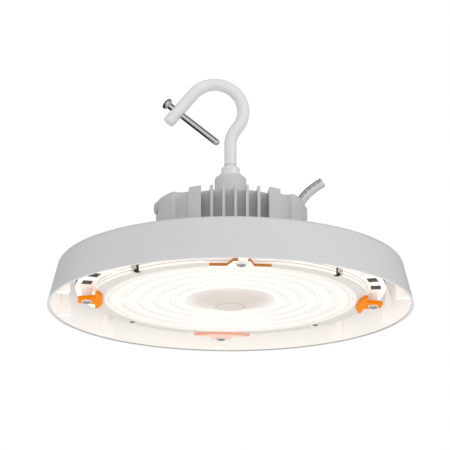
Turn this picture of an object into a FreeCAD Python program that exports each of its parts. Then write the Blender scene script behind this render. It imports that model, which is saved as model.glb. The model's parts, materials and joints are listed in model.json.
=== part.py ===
import FreeCAD, Part
import math
import os
import re

import Sketcher
from FreeCAD import Rotation, Vector

# High bay light: a cast heat sink that carries the LED board and the moulded shade and, on
# top, the driver housing with its lid, hanging hook and cable gland.
# Frame: origin at the centre of the shade's rim plane, +Z up, -Y is the front.
# All lengths are millimetres, all angles degrees.

doc = FreeCAD.newDocument("high_bay_light")

# ---------------------------------------------------------------- driving dimensions
SIZES = [
    # shade
    ("rim_radius", 165, "outer radius of the shade at its rim"),
    ("shoulder_inset", 9.7, "lean of the shade's wall, from its rim to its top plate"),
    ("shade_height", 39.5, "top face of the shade"),
    ("shade_wall", 2.5, "wall of the shade"),
    ("shoulder_round", 5.8, "outer rounding of the shade's shoulder"),
    ("top_plate_width", 43.3, "width of the shade's top plate"),
    ("shade_lip", 3, "depth of the collar round that opening"),
    ("rib_clear", 10, "room between the heat sink plate and the shade's inner ribs"),
    ("rib_thick", 8, "thickness of an inner rib"),
    ("rib_lift", 1, "height of the ribs' feet above the rim"),
    # heat sink plate and its fins
    ("plate_low", 16, "underside of the heat sink plate"),
    ("plate_thick", 4, "thickness of that plate"),
    ("plate_inset", 25, "room between the plate's edge and the shade's rim"),
    ("vent_inset", 1.3, "distance of a vent window from the lens frame"),
    ("vent_length", 9, "radial length of a vent window"),
    ("vent_width", 13, "width of a vent window"),
    ("fin_thick", 2, "thickness of a radial fin"),
    ("fin_inset", 4, "distance of the radial fins' ends from the plate's edge"),
    ("housing_gap", 0.6, "air between the fins and the driver housing"),
    ("fin_drop", 0.6, "air between a radial fin and the shade's collar"),
    ("column_inset", 5.5, "distance of the shade's posts from the plate's edge"),
    ("column_radius", 5, "radius of a shade post"),
    # driver housing
    ("drum_radius", 68, "radius of the driver housing"),
    ("drum_top", 96, "top edge of the driver housing"),
    ("drum_floor", 24, "floor of the driver compartment"),
    ("slot_pitch", 10.5, "pitch of the housing's upright fins"),
    ("slot_width", 8.1, "width of the slot between two upright fins"),
    ("slot_depth", 16, "depth of those slots"),
    ("fin_step", 2, "how far the upright fins' tips lie inside the housing's outline"),
    ("scallop_angle", 44.6, "angle of a corner scallop from the front or back"),
    ("scallop_radius", 9, "radius of a corner scallop"),
    ("scallop_round", 3, "rounding of a scallop's outer corner"),
    ("pad_half", 9, "half width of the cast pad on the housing's right side"),
    ("pad_proud", 1.6, "how far that pad stands out of the housing"),
    ("pad_chamfer", 2.4, "chamfer of that pad's top"),
    ("drum_wall", 6, "wall of the driver housing"),
    ("bay_half", 28, "half width of the side lobes"),
    ("ledge", 3, "width of the lid's ledge"),
    ("ledge_depth", 8, "depth of the lid's ledge below the housing's top"),
    ("lid_gap", 0.3, "clearance round the lid"),
    ("lid_thick", 4, "thickness of the lid"),
    ("seal_thick", 0.8, "thickness of the lid gasket"),
    ("pillar_inset", 13, "lid screw pillars, from the housing's outline along X"),
    ("pillar_y", 21, "lid screw pillars, from the middle along Y"),
    ("pillar_radius", 4.5, "radius of a lid screw pillar"),
    ("housing_screw_inset", 15, "screws that hold the housing down, from its outline along X"),
    ("housing_screw_y", 9, "those screws, from the middle along Y"),
    ("driver_inset", 24, "room between the LED driver's ends and the housing's outline"),
    ("driver_wide", 46, "width of the LED driver"),
    ("driver_tall", 44, "height of the LED driver"),
    ("driver_round", 4, "rounding of the LED driver's upright edges"),
    # hook and what holds it
    ("hub_radius", 14.5, "radius of the lid's hub"),
    ("hub_tall", 28.7, "height of the hub above the housing"),
    ("hub_round", 4.4, "rounding of the hub's top"),
    ("rod_radius", 5.6, "radius of the hook's rod"),
    ("rod_gap", 0.3, "clearance round the rod"),
    ("rod_foot_lift", 4, "lower end of the hook's rod inside the hub, above the housing"),
    ("shank_show", 30.9, "length of the hook's straight shank above the hub"),
    ("neck_bend", 25, "bend radius of the neck, on the rod's axis"),
    ("neck_turn", 37, "turn of the neck"),
    ("bow_bend", 26, "bend radius of the bow, on the rod's axis"),
    ("bow_x", -14, "centre of the bow along X"),
    ("bow_lift", 33, "centre of the bow above the end of the shank"),
    ("bow_end", 141, "angle at which the bow runs out into the leg"),
    ("leg_length", 37.7, "length of the hook's open leg"),
    ("tip_round", 2.2, "rounding of the leg's end"),
    ("washer_radius", 9.4, "radius of the hook washer"),
    ("washer_thick", 2.4, "thickness of the hook washer"),
    ("collar_radius", 8.5, "radius of the hook's round nut"),
    ("collar_height", 6.1, "height of that nut"),
    ("collar_chamfer", 1, "chamfer of that nut"),
    ("keeper_place", 23.6, "distance of the keeper screw down the leg"),
    ("keeper_radius", 3, "radius of the keeper screw"),
    ("keeper_back", 11.6, "keeper screw's head, from the leg's axis"),
    ("keeper_reach", 47.9, "keeper screw, throat side of the leg's axis"),
    ("keeper_head", 5.5, "radius of the keeper screw's head"),
    ("keeper_head_height", 3.4, "height of the keeper screw's head"),
    ("keeper_crown", 1.4, "chamfer of the keeper screw's head"),
    ("keeper_flare", 1.9, "length of the flare below that head"),
    # cable entry
    ("entry_inset_x", 8.65, "cable entry inside the drum's radius, along X"),
    ("entry_inset_y", 22.03, "the same along Y"),
    ("entry_top", 70, "top of the cable entry's cast lug"),
    ("entry_radius", 11, "radius of that lug"),
    ("gland_room", 1.6, "room for a spanner round the gland"),
    ("gland_wall", 3.3, "wall of the gland's threaded end"),
    ("gland_sink", 12, "length of the gland's thread"),
    ("gland_flats", 20, "width across the flats of the gland's body"),
    ("gland_flange", 5, "height of the gland's hexagon"),
    ("collet_wall", 3.4, "wall of the gland's collet"),
    ("gland_collet_height", 5, "height of the gland's collet"),
    ("nut_wall", 2, "wall of the gland's dome nut"),
    ("gland_nut_height", 13, "height of the gland's dome nut"),
    ("gland_nut_crown", 2.6, "chamfer of the dome nut"),
    ("gland_nut_roof", 3, "thickness of the dome nut's top"),
    ("seal_grip", 0.1, "clearance between the cord and the gland's seal"),
    ("lead_radius", 5, "radius of the lead's way into the driver compartment"),
    ("cord_radius", 4.6, "radius of the power cord"),
    ("cord_gap", 0.3, "clearance between the cord and the gland"),
    # breather plug on the housing's left side
    ("plug_angle", 188, "direction of the breather plug"),
    ("plug_drop", 6, "breather plug, below the housing's top"),
    ("plug_radius", 5.6, "radius of the plug's cap"),
    ("plug_cap", 2.3, "thickness of the plug's cap"),
    ("plug_stem", 2.5, "radius of the plug's stem"),
    ("plug_crown", 1.3, "chamfer of the plug's cap"),
    ("plug_overlap", 0.5, "how far the cap starts inside the housing, before it is cut to seat"),
    # light engine
    ("frame_low", 7, "underside of the lens frame"),
    ("frame_inset", 14.8, "distance of the lens frame from the plate's edge"),
    ("frame_wall", 8.1, "wall of the lens frame"),
    ("lip_reach", 3.1, "how far the frame's lip reaches under the lens"),
    ("frame_lip_thick", 1.6, "thickness of the frame's lip"),
    ("notch_half", 31, "half width of the frame's notch at a clip"),
    ("notch_depth", 5.5, "depth of that notch"),
    ("lens_gap", 0.3, "clearance round the lens"),
    ("lens_thick", 2.5, "thickness of the lens"),
    ("dome_gap", 0.4, "clearance round the sensor cover in the lens"),
    ("ridge_height", 1.5, "height of a lens ridge"),
    ("ridge_half", 5.2, "half width of a lens ridge"),
    ("lens_seal_width", 5, "width of the lens gasket"),
    ("board_gap", 1.6, "room between the LED board and the lens gasket"),
    ("board_dome_gap", 1, "room round the sensor cover in the LED board"),
    ("board_thick", 1.6, "thickness of the LED board"),
    ("chip_side", 3, "side of an LED"),
    ("ring_start", 6.5, "distance of the innermost ring of LEDs from the sensor cover"),
    ("ring_edge", 7, "distance of the outermost ring of LEDs from the board's edge"),
    ("chip_thick", 0.7, "thickness of an LED"),
    ("dome_radius", 38.5, "radius of the sensor cover"),
    ("dome_low", 1, "underside of the sensor cover"),
    ("dome_flat", 13, "radius of the flat on the sensor cover"),
    ("dome_wall", 1.8, "wall of the sensor cover"),
    ("dome_edge", 8.8, "height of the sensor cover's edge"),
    ("socket_inset", 2.5, "how far the sensor's socket lies inside its cover"),
    # clips and the screws of the light engine
    ("clip_thick", 2.6, "thickness of a retaining clip"),
    ("clip_grip", 9.8, "how far a clip's lip reaches in from the frame's outside"),
    ("clip_bar_grip", 5.8, "how far the ends of a clip's bar reach in"),
    ("clip_bar_inset", 3, "outer edge of a clip's bar, inside the frame's outside"),
    ("clip_overhang", 8, "length of a clip's tongue beyond its post's axis"),
    ("clip_lip_half", 12, "half width of a clip's lip"),
    ("clip_bar_half", 26.5, "half width of a clip's bar"),
    ("clip_root_half", 11.7, "half width of a clip's tongue at its root"),
    ("clip_tip_half", 7.2, "half width of a clip's tongue at its end"),
    ("boss_offset", 4.2, "distance of the clips' posts from the lens frame"),
    ("boss_radius", 4.6, "radius of a clip's post"),
    ("boss_gap", 0.3, "clearance of a clip round its post"),
    ("boss_stand", 1.2, "how far a post stands through its clip"),
    ("post_inset", 3, "accessory screws, inside the frame's outside"),
    ("post_head_lift", 1, "underside of an accessory screw's head above the frame's underside"),
    ("post_relief", 5.5, "radius of the frame's relief round such a screw"),
    ("post_tall", 6, "height of such a screw's boss above the heat sink plate"),
    # screws, by nominal size
    ("three_shank", 1.5, "shank radius of an M3 screw"),
    ("three_head", 2.8, "head radius of an M3 screw"),
    ("three_head_height", 1.8, "head height of an M3 screw"),
    ("three_bite", 3, "length of an M3 screw in the casting"),
    ("blind_skin", 0.5, "metal left at the end of a blind hole in the heat sink plate"),
    ("stub_gap", 0.4, "room between a stub's end and its blind hole's end"),
    ("four_shank", 2, "shank radius of an M4 screw"),
    ("four_head", 4, "head radius of an M4 screw"),
    ("four_head_height", 2.6, "head height of an M4 screw"),
    ("four_low_head_height", 2, "head height of a clip's low M4 screw"),
    ("four_bite", 11, "length of an M4 screw in the casting"),
    ("clip_screw_length", 8, "length of a clip's screw"),
    ("tap_run", 2, "how much deeper a tapped hole is than its screw"),
    ("head_chamfer_share", 0.45, "chamfer of a screw's head, as a share of its height"),
    ("thread_gap", 0.05, "clearance round a screw's shank in its thread"),
    ("hole_gap", 0.3, "clearance round a screw's shank in a plain hole"),
]
# Sizes that follow from others, so that what fits or lines up stays so.
DERIVED = {
    "shoulder_radius": "rim_radius - shoulder_inset",
    "shade_opening": "shoulder_radius - top_plate_width",
    "plate_radius": "rim_radius - plate_inset",
    "rib_reach": "plate_radius + rib_clear",
    "fin_reach": "plate_radius - fin_inset",
    "column_circle": "plate_radius - column_inset",
    "slot_floor": "drum_radius - slot_depth",
    "fin_tip": "drum_radius - fin_step",
    "bay_radius": "slot_floor - drum_wall",
    "bay_reach": "drum_radius - drum_wall",
    "pillar_x": "drum_radius - pillar_inset",
    "housing_screw_x": "drum_radius - housing_screw_inset",
    "driver_long": "2 * (drum_radius - driver_inset)",
    "hub_top": "drum_top + hub_tall",
    "rod_foot": "drum_top + rod_foot_lift",
    "entry_x": "drum_radius - entry_inset_x",
    "entry_y": "drum_radius - entry_inset_y",
    "shank_top": "hub_top + shank_show",
    "bow_z": "shank_top + bow_lift",
    "gland_thread": "cord_radius + gland_wall",
    "gland_collet": "cord_radius + collet_wall",
    "gland_nut_radius": "gland_collet + nut_wall",
    "plug_z": "drum_top - plug_drop",
    "frame_radius": "plate_radius - frame_inset",
    "vent_inner": "frame_radius + vent_inset",
    "vent_outer": "vent_inner + vent_length",
    "lens_radius": "frame_radius - frame_wall - lens_gap",
    "frame_lip": "lens_radius - lip_reach",
    "notch_floor": "frame_radius - notch_depth",
    "lens_opening": "dome_radius + dome_gap",
    "board_radius": "lens_radius - lens_seal_width - board_gap",
    "board_opening": "dome_radius + board_dome_gap",
    "ring_first": "dome_radius + ring_start",
    "ring_last": "board_radius - ring_edge",
    "ring_pitch": "(ring_last - ring_first) / 4",
    "board_screw_circle": "ring_last - ring_pitch / 2",
    "socket_radius": "dome_radius - socket_inset",
    "clip_low": "frame_low - clip_thick",
    "clip_lip": "frame_radius - clip_grip",
    "clip_bar_in": "frame_radius - clip_bar_grip",
    "clip_bar_out": "frame_radius - clip_bar_inset",
    "boss_circle": "frame_radius + boss_offset",
    "clip_end": "boss_circle + clip_overhang",
    "post_circle": "frame_radius - post_inset",
    "post_head_low": "frame_low + post_head_lift",
}
FIN_COUNT = 36  # radial fins
FIN_START = 0  # angle of the first radial fin
SLOT_COUNT = 6  # slots between the upright fins, front and back alike
RIB_ANGLES = [15, 45, 90, 135, 165, 195, 225, 270, 315, 345]
VENT_ANGLES = [-9, -20, 189, 200]
CLIP_ANGLES = {"right": 0, "back": 90, "left": 180, "front": 270}
DIAGONALS = [45, 135, 225, 315]
RING_LEDS = [12, 18, 22, 28, 32]  # LEDs on each of five rings, from the middle out
BOARD_SCREW_COUNT = 6

sheet = doc.addObject("Spreadsheet::Sheet", "dims")
for row, (alias, value, meaning) in enumerate(SIZES, start=1):
    sheet.set(f"A{row}", meaning)
    sheet.set(f"B{row}", str(value))
    sheet.setAlias(f"B{row}", alias)
doc.recompute()
ALIASES = {alias for alias, _, _ in SIZES}


# ---------------------------------------------------------------- helpers
def spelled(match):
    """One word of an expression: an alias of the sheet, a derived size or a function."""
    word = match[0]
    if word in DERIVED:
        return "(" + sized(DERIVED[word]) + ")"
    return "dims." + word if word in ALIASES else word


def sized(text):
    """Put the sheet's name before each alias in an expression, and spell out derived sizes."""
    return re.sub(r"[a-z_]+", spelled, str(text))


def number(text):
    """Value of an expression of the sheet's aliases."""
    return float(sheet.evalExpression(sized(text)))


def tie(item, **sizes):
    """Bind an object's sizes to the sheet; x, y and z are its place."""
    for name, text in sizes.items():
        target = f"Placement.Base.{name}" if name in "xyz" else name
        item.setExpression(target, sized(text))
    return item


def turned_to(radius, angle, across=0):
    """Place of a point at a radius and an offset across it, turned to an angle."""
    return (
        f"({radius}) * cos({angle}) - ({across}) * sin({angle})",
        f"({radius}) * sin({angle}) + ({across}) * cos({angle})",
    )


def cylinder(name, radius, low, high, at=("0", "0")):
    item = doc.addObject("Part::Cylinder", name)
    return tie(item, Radius=radius, Height=f"({high}) - ({low})", x=at[0], y=at[1], z=low)


def box(name, inner, outer, width, low, high, angle=0):
    """Block from one radius out to another, turned to an angle about Z."""
    item = doc.addObject("Part::Box", name)
    item.Placement.Rotation = Rotation(Vector(0, 0, 1), angle)
    x, y = turned_to(inner, angle, f"0 - ({width}) / 2")
    return tie(
        item,
        Length=f"({outer}) - ({inner})",
        Width=width,
        Height=f"({high}) - ({low})",
        x=x,
        y=y,
        z=low,
    )


def fuse(name, items):
    if len(items) == 1:
        return items[0]
    item = doc.addObject("Part::MultiFuse", name)
    item.Shapes = items
    return item


def cut(name, base, tool):
    item = doc.addObject("Part::Cut", name)
    item.Base, item.Tool = base, tool
    return item


def common(name, first, second):
    item = doc.addObject("Part::MultiCommon", name)
    item.Shapes = [first, second]
    return item


def bundle(name, items):
    """Like pieces that share one node and stay separate solids."""
    item = doc.addObject("Part::Compound", name)
    item.Links = items
    return item


def sketch_on(body, role, name, spin=0, lift="0"):
    """New sketch on one of a body's origin planes, spun about its own Y or lifted off it."""
    sketch = body.newObject("Sketcher::SketchObject", name)
    plane = next(item for item in body.Origin.OriginFeatures if item.Role == role)
    sketch.AttachmentSupport = [(plane, "")]
    sketch.MapMode = "FlatFace"
    sketch.AttachmentOffset.Rotation = Rotation(Vector(0, 1, 0), spin)
    sketch.setExpression("AttachmentOffset.Base.z", sized(lift))
    return sketch


def pin_down(sketch, geometry, end, place):
    """Hold one end of a sketch line at a place given by expressions."""
    for kind, text in zip(("DistanceX", "DistanceY"), place):
        index = sketch.addConstraint(
            Sketcher.Constraint(kind, -1, 1, geometry, end, number(text))
        )
        sketch.setExpression(f"Constraints[{index}]", sized(text))


def outline(sketch, points):
    """Closed outline of straight lines through points given by expressions."""
    places = [Vector(number(x), number(y), 0) for x, y in points]
    count = len(places)
    for index in range(count):
        sketch.addGeometry(Part.LineSegment(places[index], places[(index + 1) % count]))
    for index in range(count):
        sketch.addConstraint(
            Sketcher.Constraint("Coincident", index, 2, (index + 1) % count, 1)
        )
    for index, place in enumerate(points):
        pin_down(sketch, index, 1, place)
    return sketch


def circle_in(sketch, place, radius):
    centre = Vector(number(place[0]), number(place[1]), 0)
    index = sketch.addGeometry(Part.Circle(centre, Vector(0, 0, 1), number(radius)))
    pin_down(sketch, index, 3, place)
    held = sketch.addConstraint(Sketcher.Constraint("Radius", index, number(radius)))
    sketch.setExpression(f"Constraints[{held}]", sized(radius))


def revolved(name, points):
    """Body turned about Z from a half section of (radius, height) points."""
    body = doc.addObject("PartDesign::Body", name)
    section = outline(sketch_on(body, "XZ_Plane", name + "_section"), points)
    turn = body.newObject("PartDesign::Revolution", name + "_turn")
    turn.Profile = section
    turn.ReferenceAxis = (section, ["V_Axis"])
    turn.Angle = 360
    doc.recompute()
    return body


def padded(name, points, low, thick, spin=0):
    """Body of a flat outline in the XY plane, lifted to a height."""
    body = doc.addObject("PartDesign::Body", name)
    drawing = outline(sketch_on(body, "XY_Plane", name + "_outline", lift=low), points)
    pad = body.newObject("PartDesign::Pad", name + "_pad")
    pad.Profile = drawing
    pad.setExpression("Length", sized(thick))
    body.Placement.Rotation = Rotation(Vector(0, 0, 1), spin)
    doc.recompute()
    return body


def ring_edges(item, rings):
    """Names of the full circles of a shape that have a given radius and height."""
    wanted = [(number(radius), number(height)) for radius, height in rings]
    names = []
    for index, edge in enumerate(item.Shape.Edges, start=1):
        if not isinstance(edge.Curve, Part.Circle):
            continue
        for radius, height in wanted:
            if (
                abs(edge.Curve.Radius - radius) < 1e-4
                and abs(edge.Curve.Center.z - height) < 1e-4
            ):
                names.append(f"Edge{index}")
    return names


def round_rings(body, rings, size, kind="PartDesign::Fillet"):
    """Round or chamfer the circles of a body's last feature."""
    last = body.Tip
    feature = body.newObject(kind, body.Name + "_" + kind.split("::")[1].lower())
    feature.Base = (last, ring_edges(last, rings))
    feature.setExpression("Radius" if kind.endswith("Fillet") else "Size", sized(size))
    doc.recompute()
    return body


def crowned(name, cap, far_from, size):
    """Chamfer the end of a cylinder that lies farther from a point."""
    doc.recompute()
    ends = [
        (edge.Curve.Center.distanceToPoint(far_from), index)
        for index, edge in enumerate(cap.Shape.Edges, start=1)
        if isinstance(edge.Curve, Part.Circle)
    ]
    crown = doc.addObject("Part::Chamfer", name)
    crown.Base = cap
    crown.Edges = [(max(ends)[1], number(size), number(size))]
    return crown


def pan_screw(name, at, seat, shank, head, head_height, length, points_up):
    """Screw with a chamfered round head; seat is the plane that its head bears on."""
    if points_up:
        low, high = f"({seat}) - ({head_height})", seat
        tip_low, tip_high = seat, f"({seat}) + ({length})"
    else:
        low, high = seat, f"({seat}) + ({head_height})"
        tip_low, tip_high = f"({seat}) - ({length})", seat
    cap = cylinder(name + "_cap", head, low, high, at)
    middle = Vector(number(at[0]), number(at[1]), number(seat))
    head_part = crowned(name + "_crown", cap, middle, f"({head_height}) * head_chamfer_share")
    return fuse(name, [head_part, cylinder(name + "_shank", shank, tip_low, tip_high, at)])


NODES = {}


def node(name, item):
    """Name a finished sub-part; its label is its file's name."""
    item.Label = name
    NODES[name] = item
    return item


# ---------------------------------------------------------------- shade
# Moulded shade: a leaning wall and a flat top plate with a rounded shoulder, a collar round
# the opening in the top plate, and stiffening ribs inside that stand on the wall.
UNDERSIDE = "shade_height - shade_wall"
LEAN = "(rim_radius - shoulder_radius) / shade_height"


def wall_inside(height):
    """Inner radius of the shade's wall at a height."""
    return f"rim_radius - shade_wall - {LEAN} * ({height})"


shade = revolved(
    "shade_body",
    [
        ("rim_radius", "0"),
        ("shoulder_radius", "shade_height"),
        ("shade_opening", "shade_height"),
        ("shade_opening", "shade_height - shade_lip - shade_wall"),
        ("shade_opening + shade_wall", "shade_height - shade_lip - shade_wall"),
        ("shade_opening + shade_wall", UNDERSIDE),
        (wall_inside(UNDERSIDE), UNDERSIDE),
        (wall_inside("0"), "0"),
    ],
)
round_rings(shade, [("shoulder_radius", "shade_height")], "shoulder_round")
round_rings(
    shade, [(wall_inside(UNDERSIDE), UNDERSIDE)], "shoulder_round - shade_wall"
)
for angle in RIB_ANGLES:
    drawing = sketch_on(shade, "XZ_Plane", f"rib_{angle}", spin=angle)
    half_wall = "shade_wall / 2"
    outline(
        drawing,
        [
            ("rib_reach", "rib_lift"),
            (wall_inside("rib_lift") + f" + {half_wall}", "rib_lift"),
            (wall_inside(UNDERSIDE) + " - shoulder_round / 2", f"{UNDERSIDE} + {half_wall}"),
            ("rib_reach", f"{UNDERSIDE} + {half_wall}"),
        ],
    )
    rib = shade.newObject("PartDesign::Pad", f"rib_pad_{angle}")
    rib.Profile = drawing
    rib.setExpression("Length", sized("rib_thick"))
    rib.Midplane = True
drawing = sketch_on(shade, "XY_Plane", "shade_holes")
for angle in DIAGONALS:
    circle_in(drawing, turned_to("column_circle", angle), "four_shank + hole_gap")
holes = shade.newObject("PartDesign::Pocket", "shade_holes_cut")
holes.Profile = drawing
holes.Type = "ThroughAll"
holes.Midplane = True
node("shade", shade)


# ---------------------------------------------------------------- heat sink casting
# A flat plate with radial fins above, which carries everything else.
PLATE_TOP = "plate_low + plate_thick"


def plan_lobes(name, middle, reach, half, low, high):
    """Round middle with a lobe on each side, as a block between two heights."""
    band = doc.addObject("Part::Box", name + "_band")
    tie(
        band,
        Length=f"2 * ({reach})",
        Width=f"2 * ({half})",
        Height=f"({high}) - ({low})",
        x=f"0 - ({reach})",
        y=f"0 - ({half})",
        z=low,
    )
    disc = cylinder(name + "_disc", reach, low, high)
    return fuse(
        name,
        [cylinder(name + "_middle", middle, low, high), common(name + "_lobes", disc, band)],
    )


def pillar_places():
    return [
        (f"{sx} * pillar_x", f"{sy} * pillar_y") for sx in (1, -1) for sy in (1, -1)
    ]


def between_radii(name, inner, outer):
    """Ring that is taken out of the drum's side, from the plate up."""
    return cut(
        name,
        cylinder(name + "_out", outer, PLATE_TOP, "drum_top + 1"),
        cylinder(name + "_in", inner, PLATE_TOP, "drum_top + 1"),
    )


def upright_slots(side):
    """Slots between the upright fins, and the step from the lugs down to the fin tips."""
    tools = []
    first = -(SLOT_COUNT - 1) / 2
    side_name = "front" if side < 0 else "back"
    for index in range(SLOT_COUNT):
        offset = f"({first + index}) * slot_pitch"
        run = doc.addObject("Part::Box", f"slot_{side_name}_{index}_run")
        tie(
            run,
            Length="slot_width",
            Width="drum_radius + 2",
            Height=f"drum_top + 1 - ({PLATE_TOP})",
            x=f"{offset} - slot_width / 2",
            y="0" if side > 0 else "0 - drum_radius - 2",
            z=PLATE_TOP,
        )
        ring = between_radii(f"slot_{side_name}_{index}_ring", "slot_floor", "drum_radius + 1")
        tools.append(common(f"slot_{side_name}_{index}", ring, run))
    step_half = f"({SLOT_COUNT / 2}) * slot_pitch - slot_pitch / 2"
    name = f"step_{side_name}"
    ring = between_radii(name + "_ring", "fin_tip", "drum_radius + 1")
    band = doc.addObject("Part::Box", name + "_band")
    tie(
        band,
        Length=f"2 * ({step_half})",
        Width="drum_radius + 2",
        Height=f"drum_top + 1 - ({PLATE_TOP})",
        x=f"0 - ({step_half})",
        y="0" if side > 0 else "0 - drum_radius - 2",
        z=PLATE_TOP,
    )
    return tools + [common(name, ring, band)]


def scallops():
    """Round bites out of the drum's four corners."""
    directions = [f"{quarter} {sign} scallop_angle" for quarter in (90, 270) for sign in "+-"]
    return [
        cylinder(
            f"scallop_{index}",
            "scallop_radius",
            PLATE_TOP,
            "drum_top + 1",
            turned_to("drum_radius", direction),
        )
        for index, direction in enumerate(directions)
    ]


HOUSING_LOW = PLATE_TOP
LEDGE = "drum_top - ledge_depth"
FIN_TOP = f"{UNDERSIDE} - shade_lip - fin_drop"
plate = cut(
    "plate_cut",
    cylinder("plate", "plate_radius", "plate_low", PLATE_TOP),
    fuse(
        "vents",
        [
            box(
                f"vent_{index}",
                "vent_inner",
                "vent_outer",
                "vent_width",
                "plate_low - 1",
                f"{PLATE_TOP} + 1",
                angle,
            )
            for index, angle in enumerate(VENT_ANGLES)
        ],
    ),
)
fins = [
    box(
        f"fin_{index}",
        "drum_radius + housing_gap",
        "fin_reach",
        "fin_thick",
        PLATE_TOP + " - 1",
        FIN_TOP,
        FIN_START + index * 360 / FIN_COUNT,
    )
    for index in range(FIN_COUNT)
]
accessory_bosses = [
    cylinder(
        f"accessory_boss_{angle}",
        "column_radius",
        PLATE_TOP + " - 1",
        f"{PLATE_TOP} + post_tall",
        turned_to("post_circle", angle),
    )
    for angle in DIAGONALS
]


def holes_at(name, places, radius, low, high):
    """Upright round holes, one at each place."""
    return [
        cylinder(f"{name}_{index}", f"{radius} + thread_gap", low, high, place)
        for index, place in enumerate(places)
    ]


COLUMNS = [turned_to("column_circle", angle) for angle in DIAGONALS]
ACCESSORIES = [turned_to("post_circle", angle) for angle in DIAGONALS]
CLIP_POSTS = [turned_to("boss_circle", angle) for angle in CLIP_ANGLES.values()]
BOARD_PLACES = [
    turned_to("board_screw_circle", (turn + 0.5) * 360 / BOARD_SCREW_COUNT)
    for turn in range(BOARD_SCREW_COUNT)
]
HOUSING_SCREWS = [
    (f"{sx} * housing_screw_x", f"{sy} * housing_screw_y") for sx in (1, -1) for sy in (1, -1)
]
BLIND_LOW = "plate_low + blind_skin"
BLIND_HIGH = f"{PLATE_TOP} - blind_skin"
node(
    "heat_sink",
    cut(
        "sink_cut",
        fuse("sink_solid", [plate] + fins + accessory_bosses),
        fuse(
            "sink_tools",
            holes_at("column_seat", COLUMNS, "four_shank", BLIND_LOW, f"{PLATE_TOP} + 1")
            + holes_at("housing_bite", HOUSING_SCREWS, "four_shank", BLIND_LOW, f"{PLATE_TOP} + 1")
            + holes_at("clip_seat", CLIP_POSTS, "four_shank", "plate_low - 1", BLIND_HIGH)
            + holes_at("board_bite", BOARD_PLACES, "three_shank", "plate_low - 1", BLIND_HIGH)
            + holes_at(
                "accessory_bite",
                ACCESSORIES,
                "four_shank",
                "plate_low - 1",
                f"{PLATE_TOP} + post_tall - blind_skin",
            ),
        ),
    ),
)


def standing_post(name, place, radius, low, high, stub_low, stub_high):
    """Turned post with a threaded stub at its foot that screws into the heat sink."""
    return fuse(
        name,
        [
            cylinder(name + "_body", radius, low, high, place),
            cylinder(name + "_stub", "four_shank", stub_low, stub_high, place),
        ],
    )


# The shade stands on four posts above the heat sink, and the clips hang on four below it.
node(
    "shade_posts",
    cut(
        "shade_posts_cut",
        bundle(
            "shade_post_set",
            [
                standing_post(
                    f"shade_post_{index}",
                    place,
                    "column_radius",
                    PLATE_TOP,
                    UNDERSIDE,
                    "plate_low + blind_skin + stub_gap",
                    PLATE_TOP,
                )
                for index, place in enumerate(COLUMNS)
            ],
        ),
        fuse(
            "shade_post_holes",
            holes_at(
                "column_hole",
                COLUMNS,
                "four_shank",
                f"{UNDERSIDE} - four_bite - tap_run",
                f"{UNDERSIDE} + 1",
            ),
        ),
    ),
)
CLIP_SEAT = "clip_low - boss_stand"
node(
    "clip_posts",
    cut(
        "clip_posts_cut",
        bundle(
            "clip_post_set",
            [
                standing_post(
                    f"clip_post_{index}",
                    place,
                    "boss_radius",
                    CLIP_SEAT,
                    "plate_low",
                    "plate_low",
                    f"{PLATE_TOP} - blind_skin - stub_gap",
                )
                for index, place in enumerate(CLIP_POSTS)
            ],
        ),
        fuse(
            "clip_post_holes",
            holes_at(
                "clip_hole",
                CLIP_POSTS,
                "four_shank",
                f"{CLIP_SEAT} - 1",
                f"{CLIP_SEAT} + clip_screw_length + tap_run",
            ),
        ),
    ),
)

# ---------------------------------------------------------------- driver housing casting
# A round drum on the heat sink, with upright fins front and back, a scallop at each corner,
# a lug at the cable entry and a compartment for the driver under a sunk lid.
scalloped = cut(
    "drum_scalloped",
    cylinder("drum", "drum_radius", HOUSING_LOW, "drum_top"),
    fuse("drum_scallops", scallops()),
)
doc.recompute()
corner_reach = number("drum_radius * sin(scallop_angle)")
soft_drum = doc.addObject("Part::Fillet", "drum_rounded")
soft_drum.Base = scalloped
soft_drum.Edges = [
    (index, number("scallop_round"), number("scallop_round"))
    for index, edge in enumerate(scalloped.Shape.Edges, start=1)
    if abs(edge.tangentAt(edge.FirstParameter).z) > 0.9
    and abs(edge.CenterOfMass.x) > corner_reach
    and abs(edge.CenterOfMass.y) > 1
]
drum = cut("drum_outside", soft_drum, fuse("drum_cuts", upright_slots(-1) + upright_slots(1)))
pad_block = box(
    "side_pad_block",
    "bay_reach + ledge + 1",
    "drum_radius + pad_proud",
    "2 * pad_half",
    UNDERSIDE,
    "drum_top - 1",
)
doc.recompute()
pad = doc.addObject("Part::Chamfer", "side_pad")
pad.Base = pad_block
pad.Edges = [
    (index, number("pad_chamfer"), number("pad_proud"))
    for index, edge in enumerate(pad_block.Shape.Edges, start=1)
    if edge.CenterOfMass.x > number("drum_radius + pad_proud") - 0.01
    and edge.CenterOfMass.z > number("drum_top - 1") - 0.01
]
ENTRY = ("entry_x", "entry_y")
lug = cylinder("entry_lug", "entry_radius", f"{FIN_TOP} + housing_gap", "entry_top", ENTRY)


def driver_bay(name, low, high):
    """The driver compartment between two heights, less the lid screw pillars."""
    return cut(
        name,
        plan_lobes(name + "_plan", "bay_radius", "bay_reach", "bay_half", low, high),
        fuse(
            name + "_pillars",
            [
                cylinder(f"{name}_pillar_{index}", "pillar_radius", low, high, place)
                for index, place in enumerate(pillar_places())
            ],
        ),
    )


recess = plan_lobes(
    "recess", "bay_radius + ledge", "bay_reach + ledge", "bay_half + ledge", LEDGE, "drum_top + 1"
)
entry_bore = cylinder(
    "entry_bore",
    "gland_thread + thread_gap",
    "entry_top - gland_sink - lead_radius - 1",
    "entry_top + 1",
    ENTRY,
)
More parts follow.
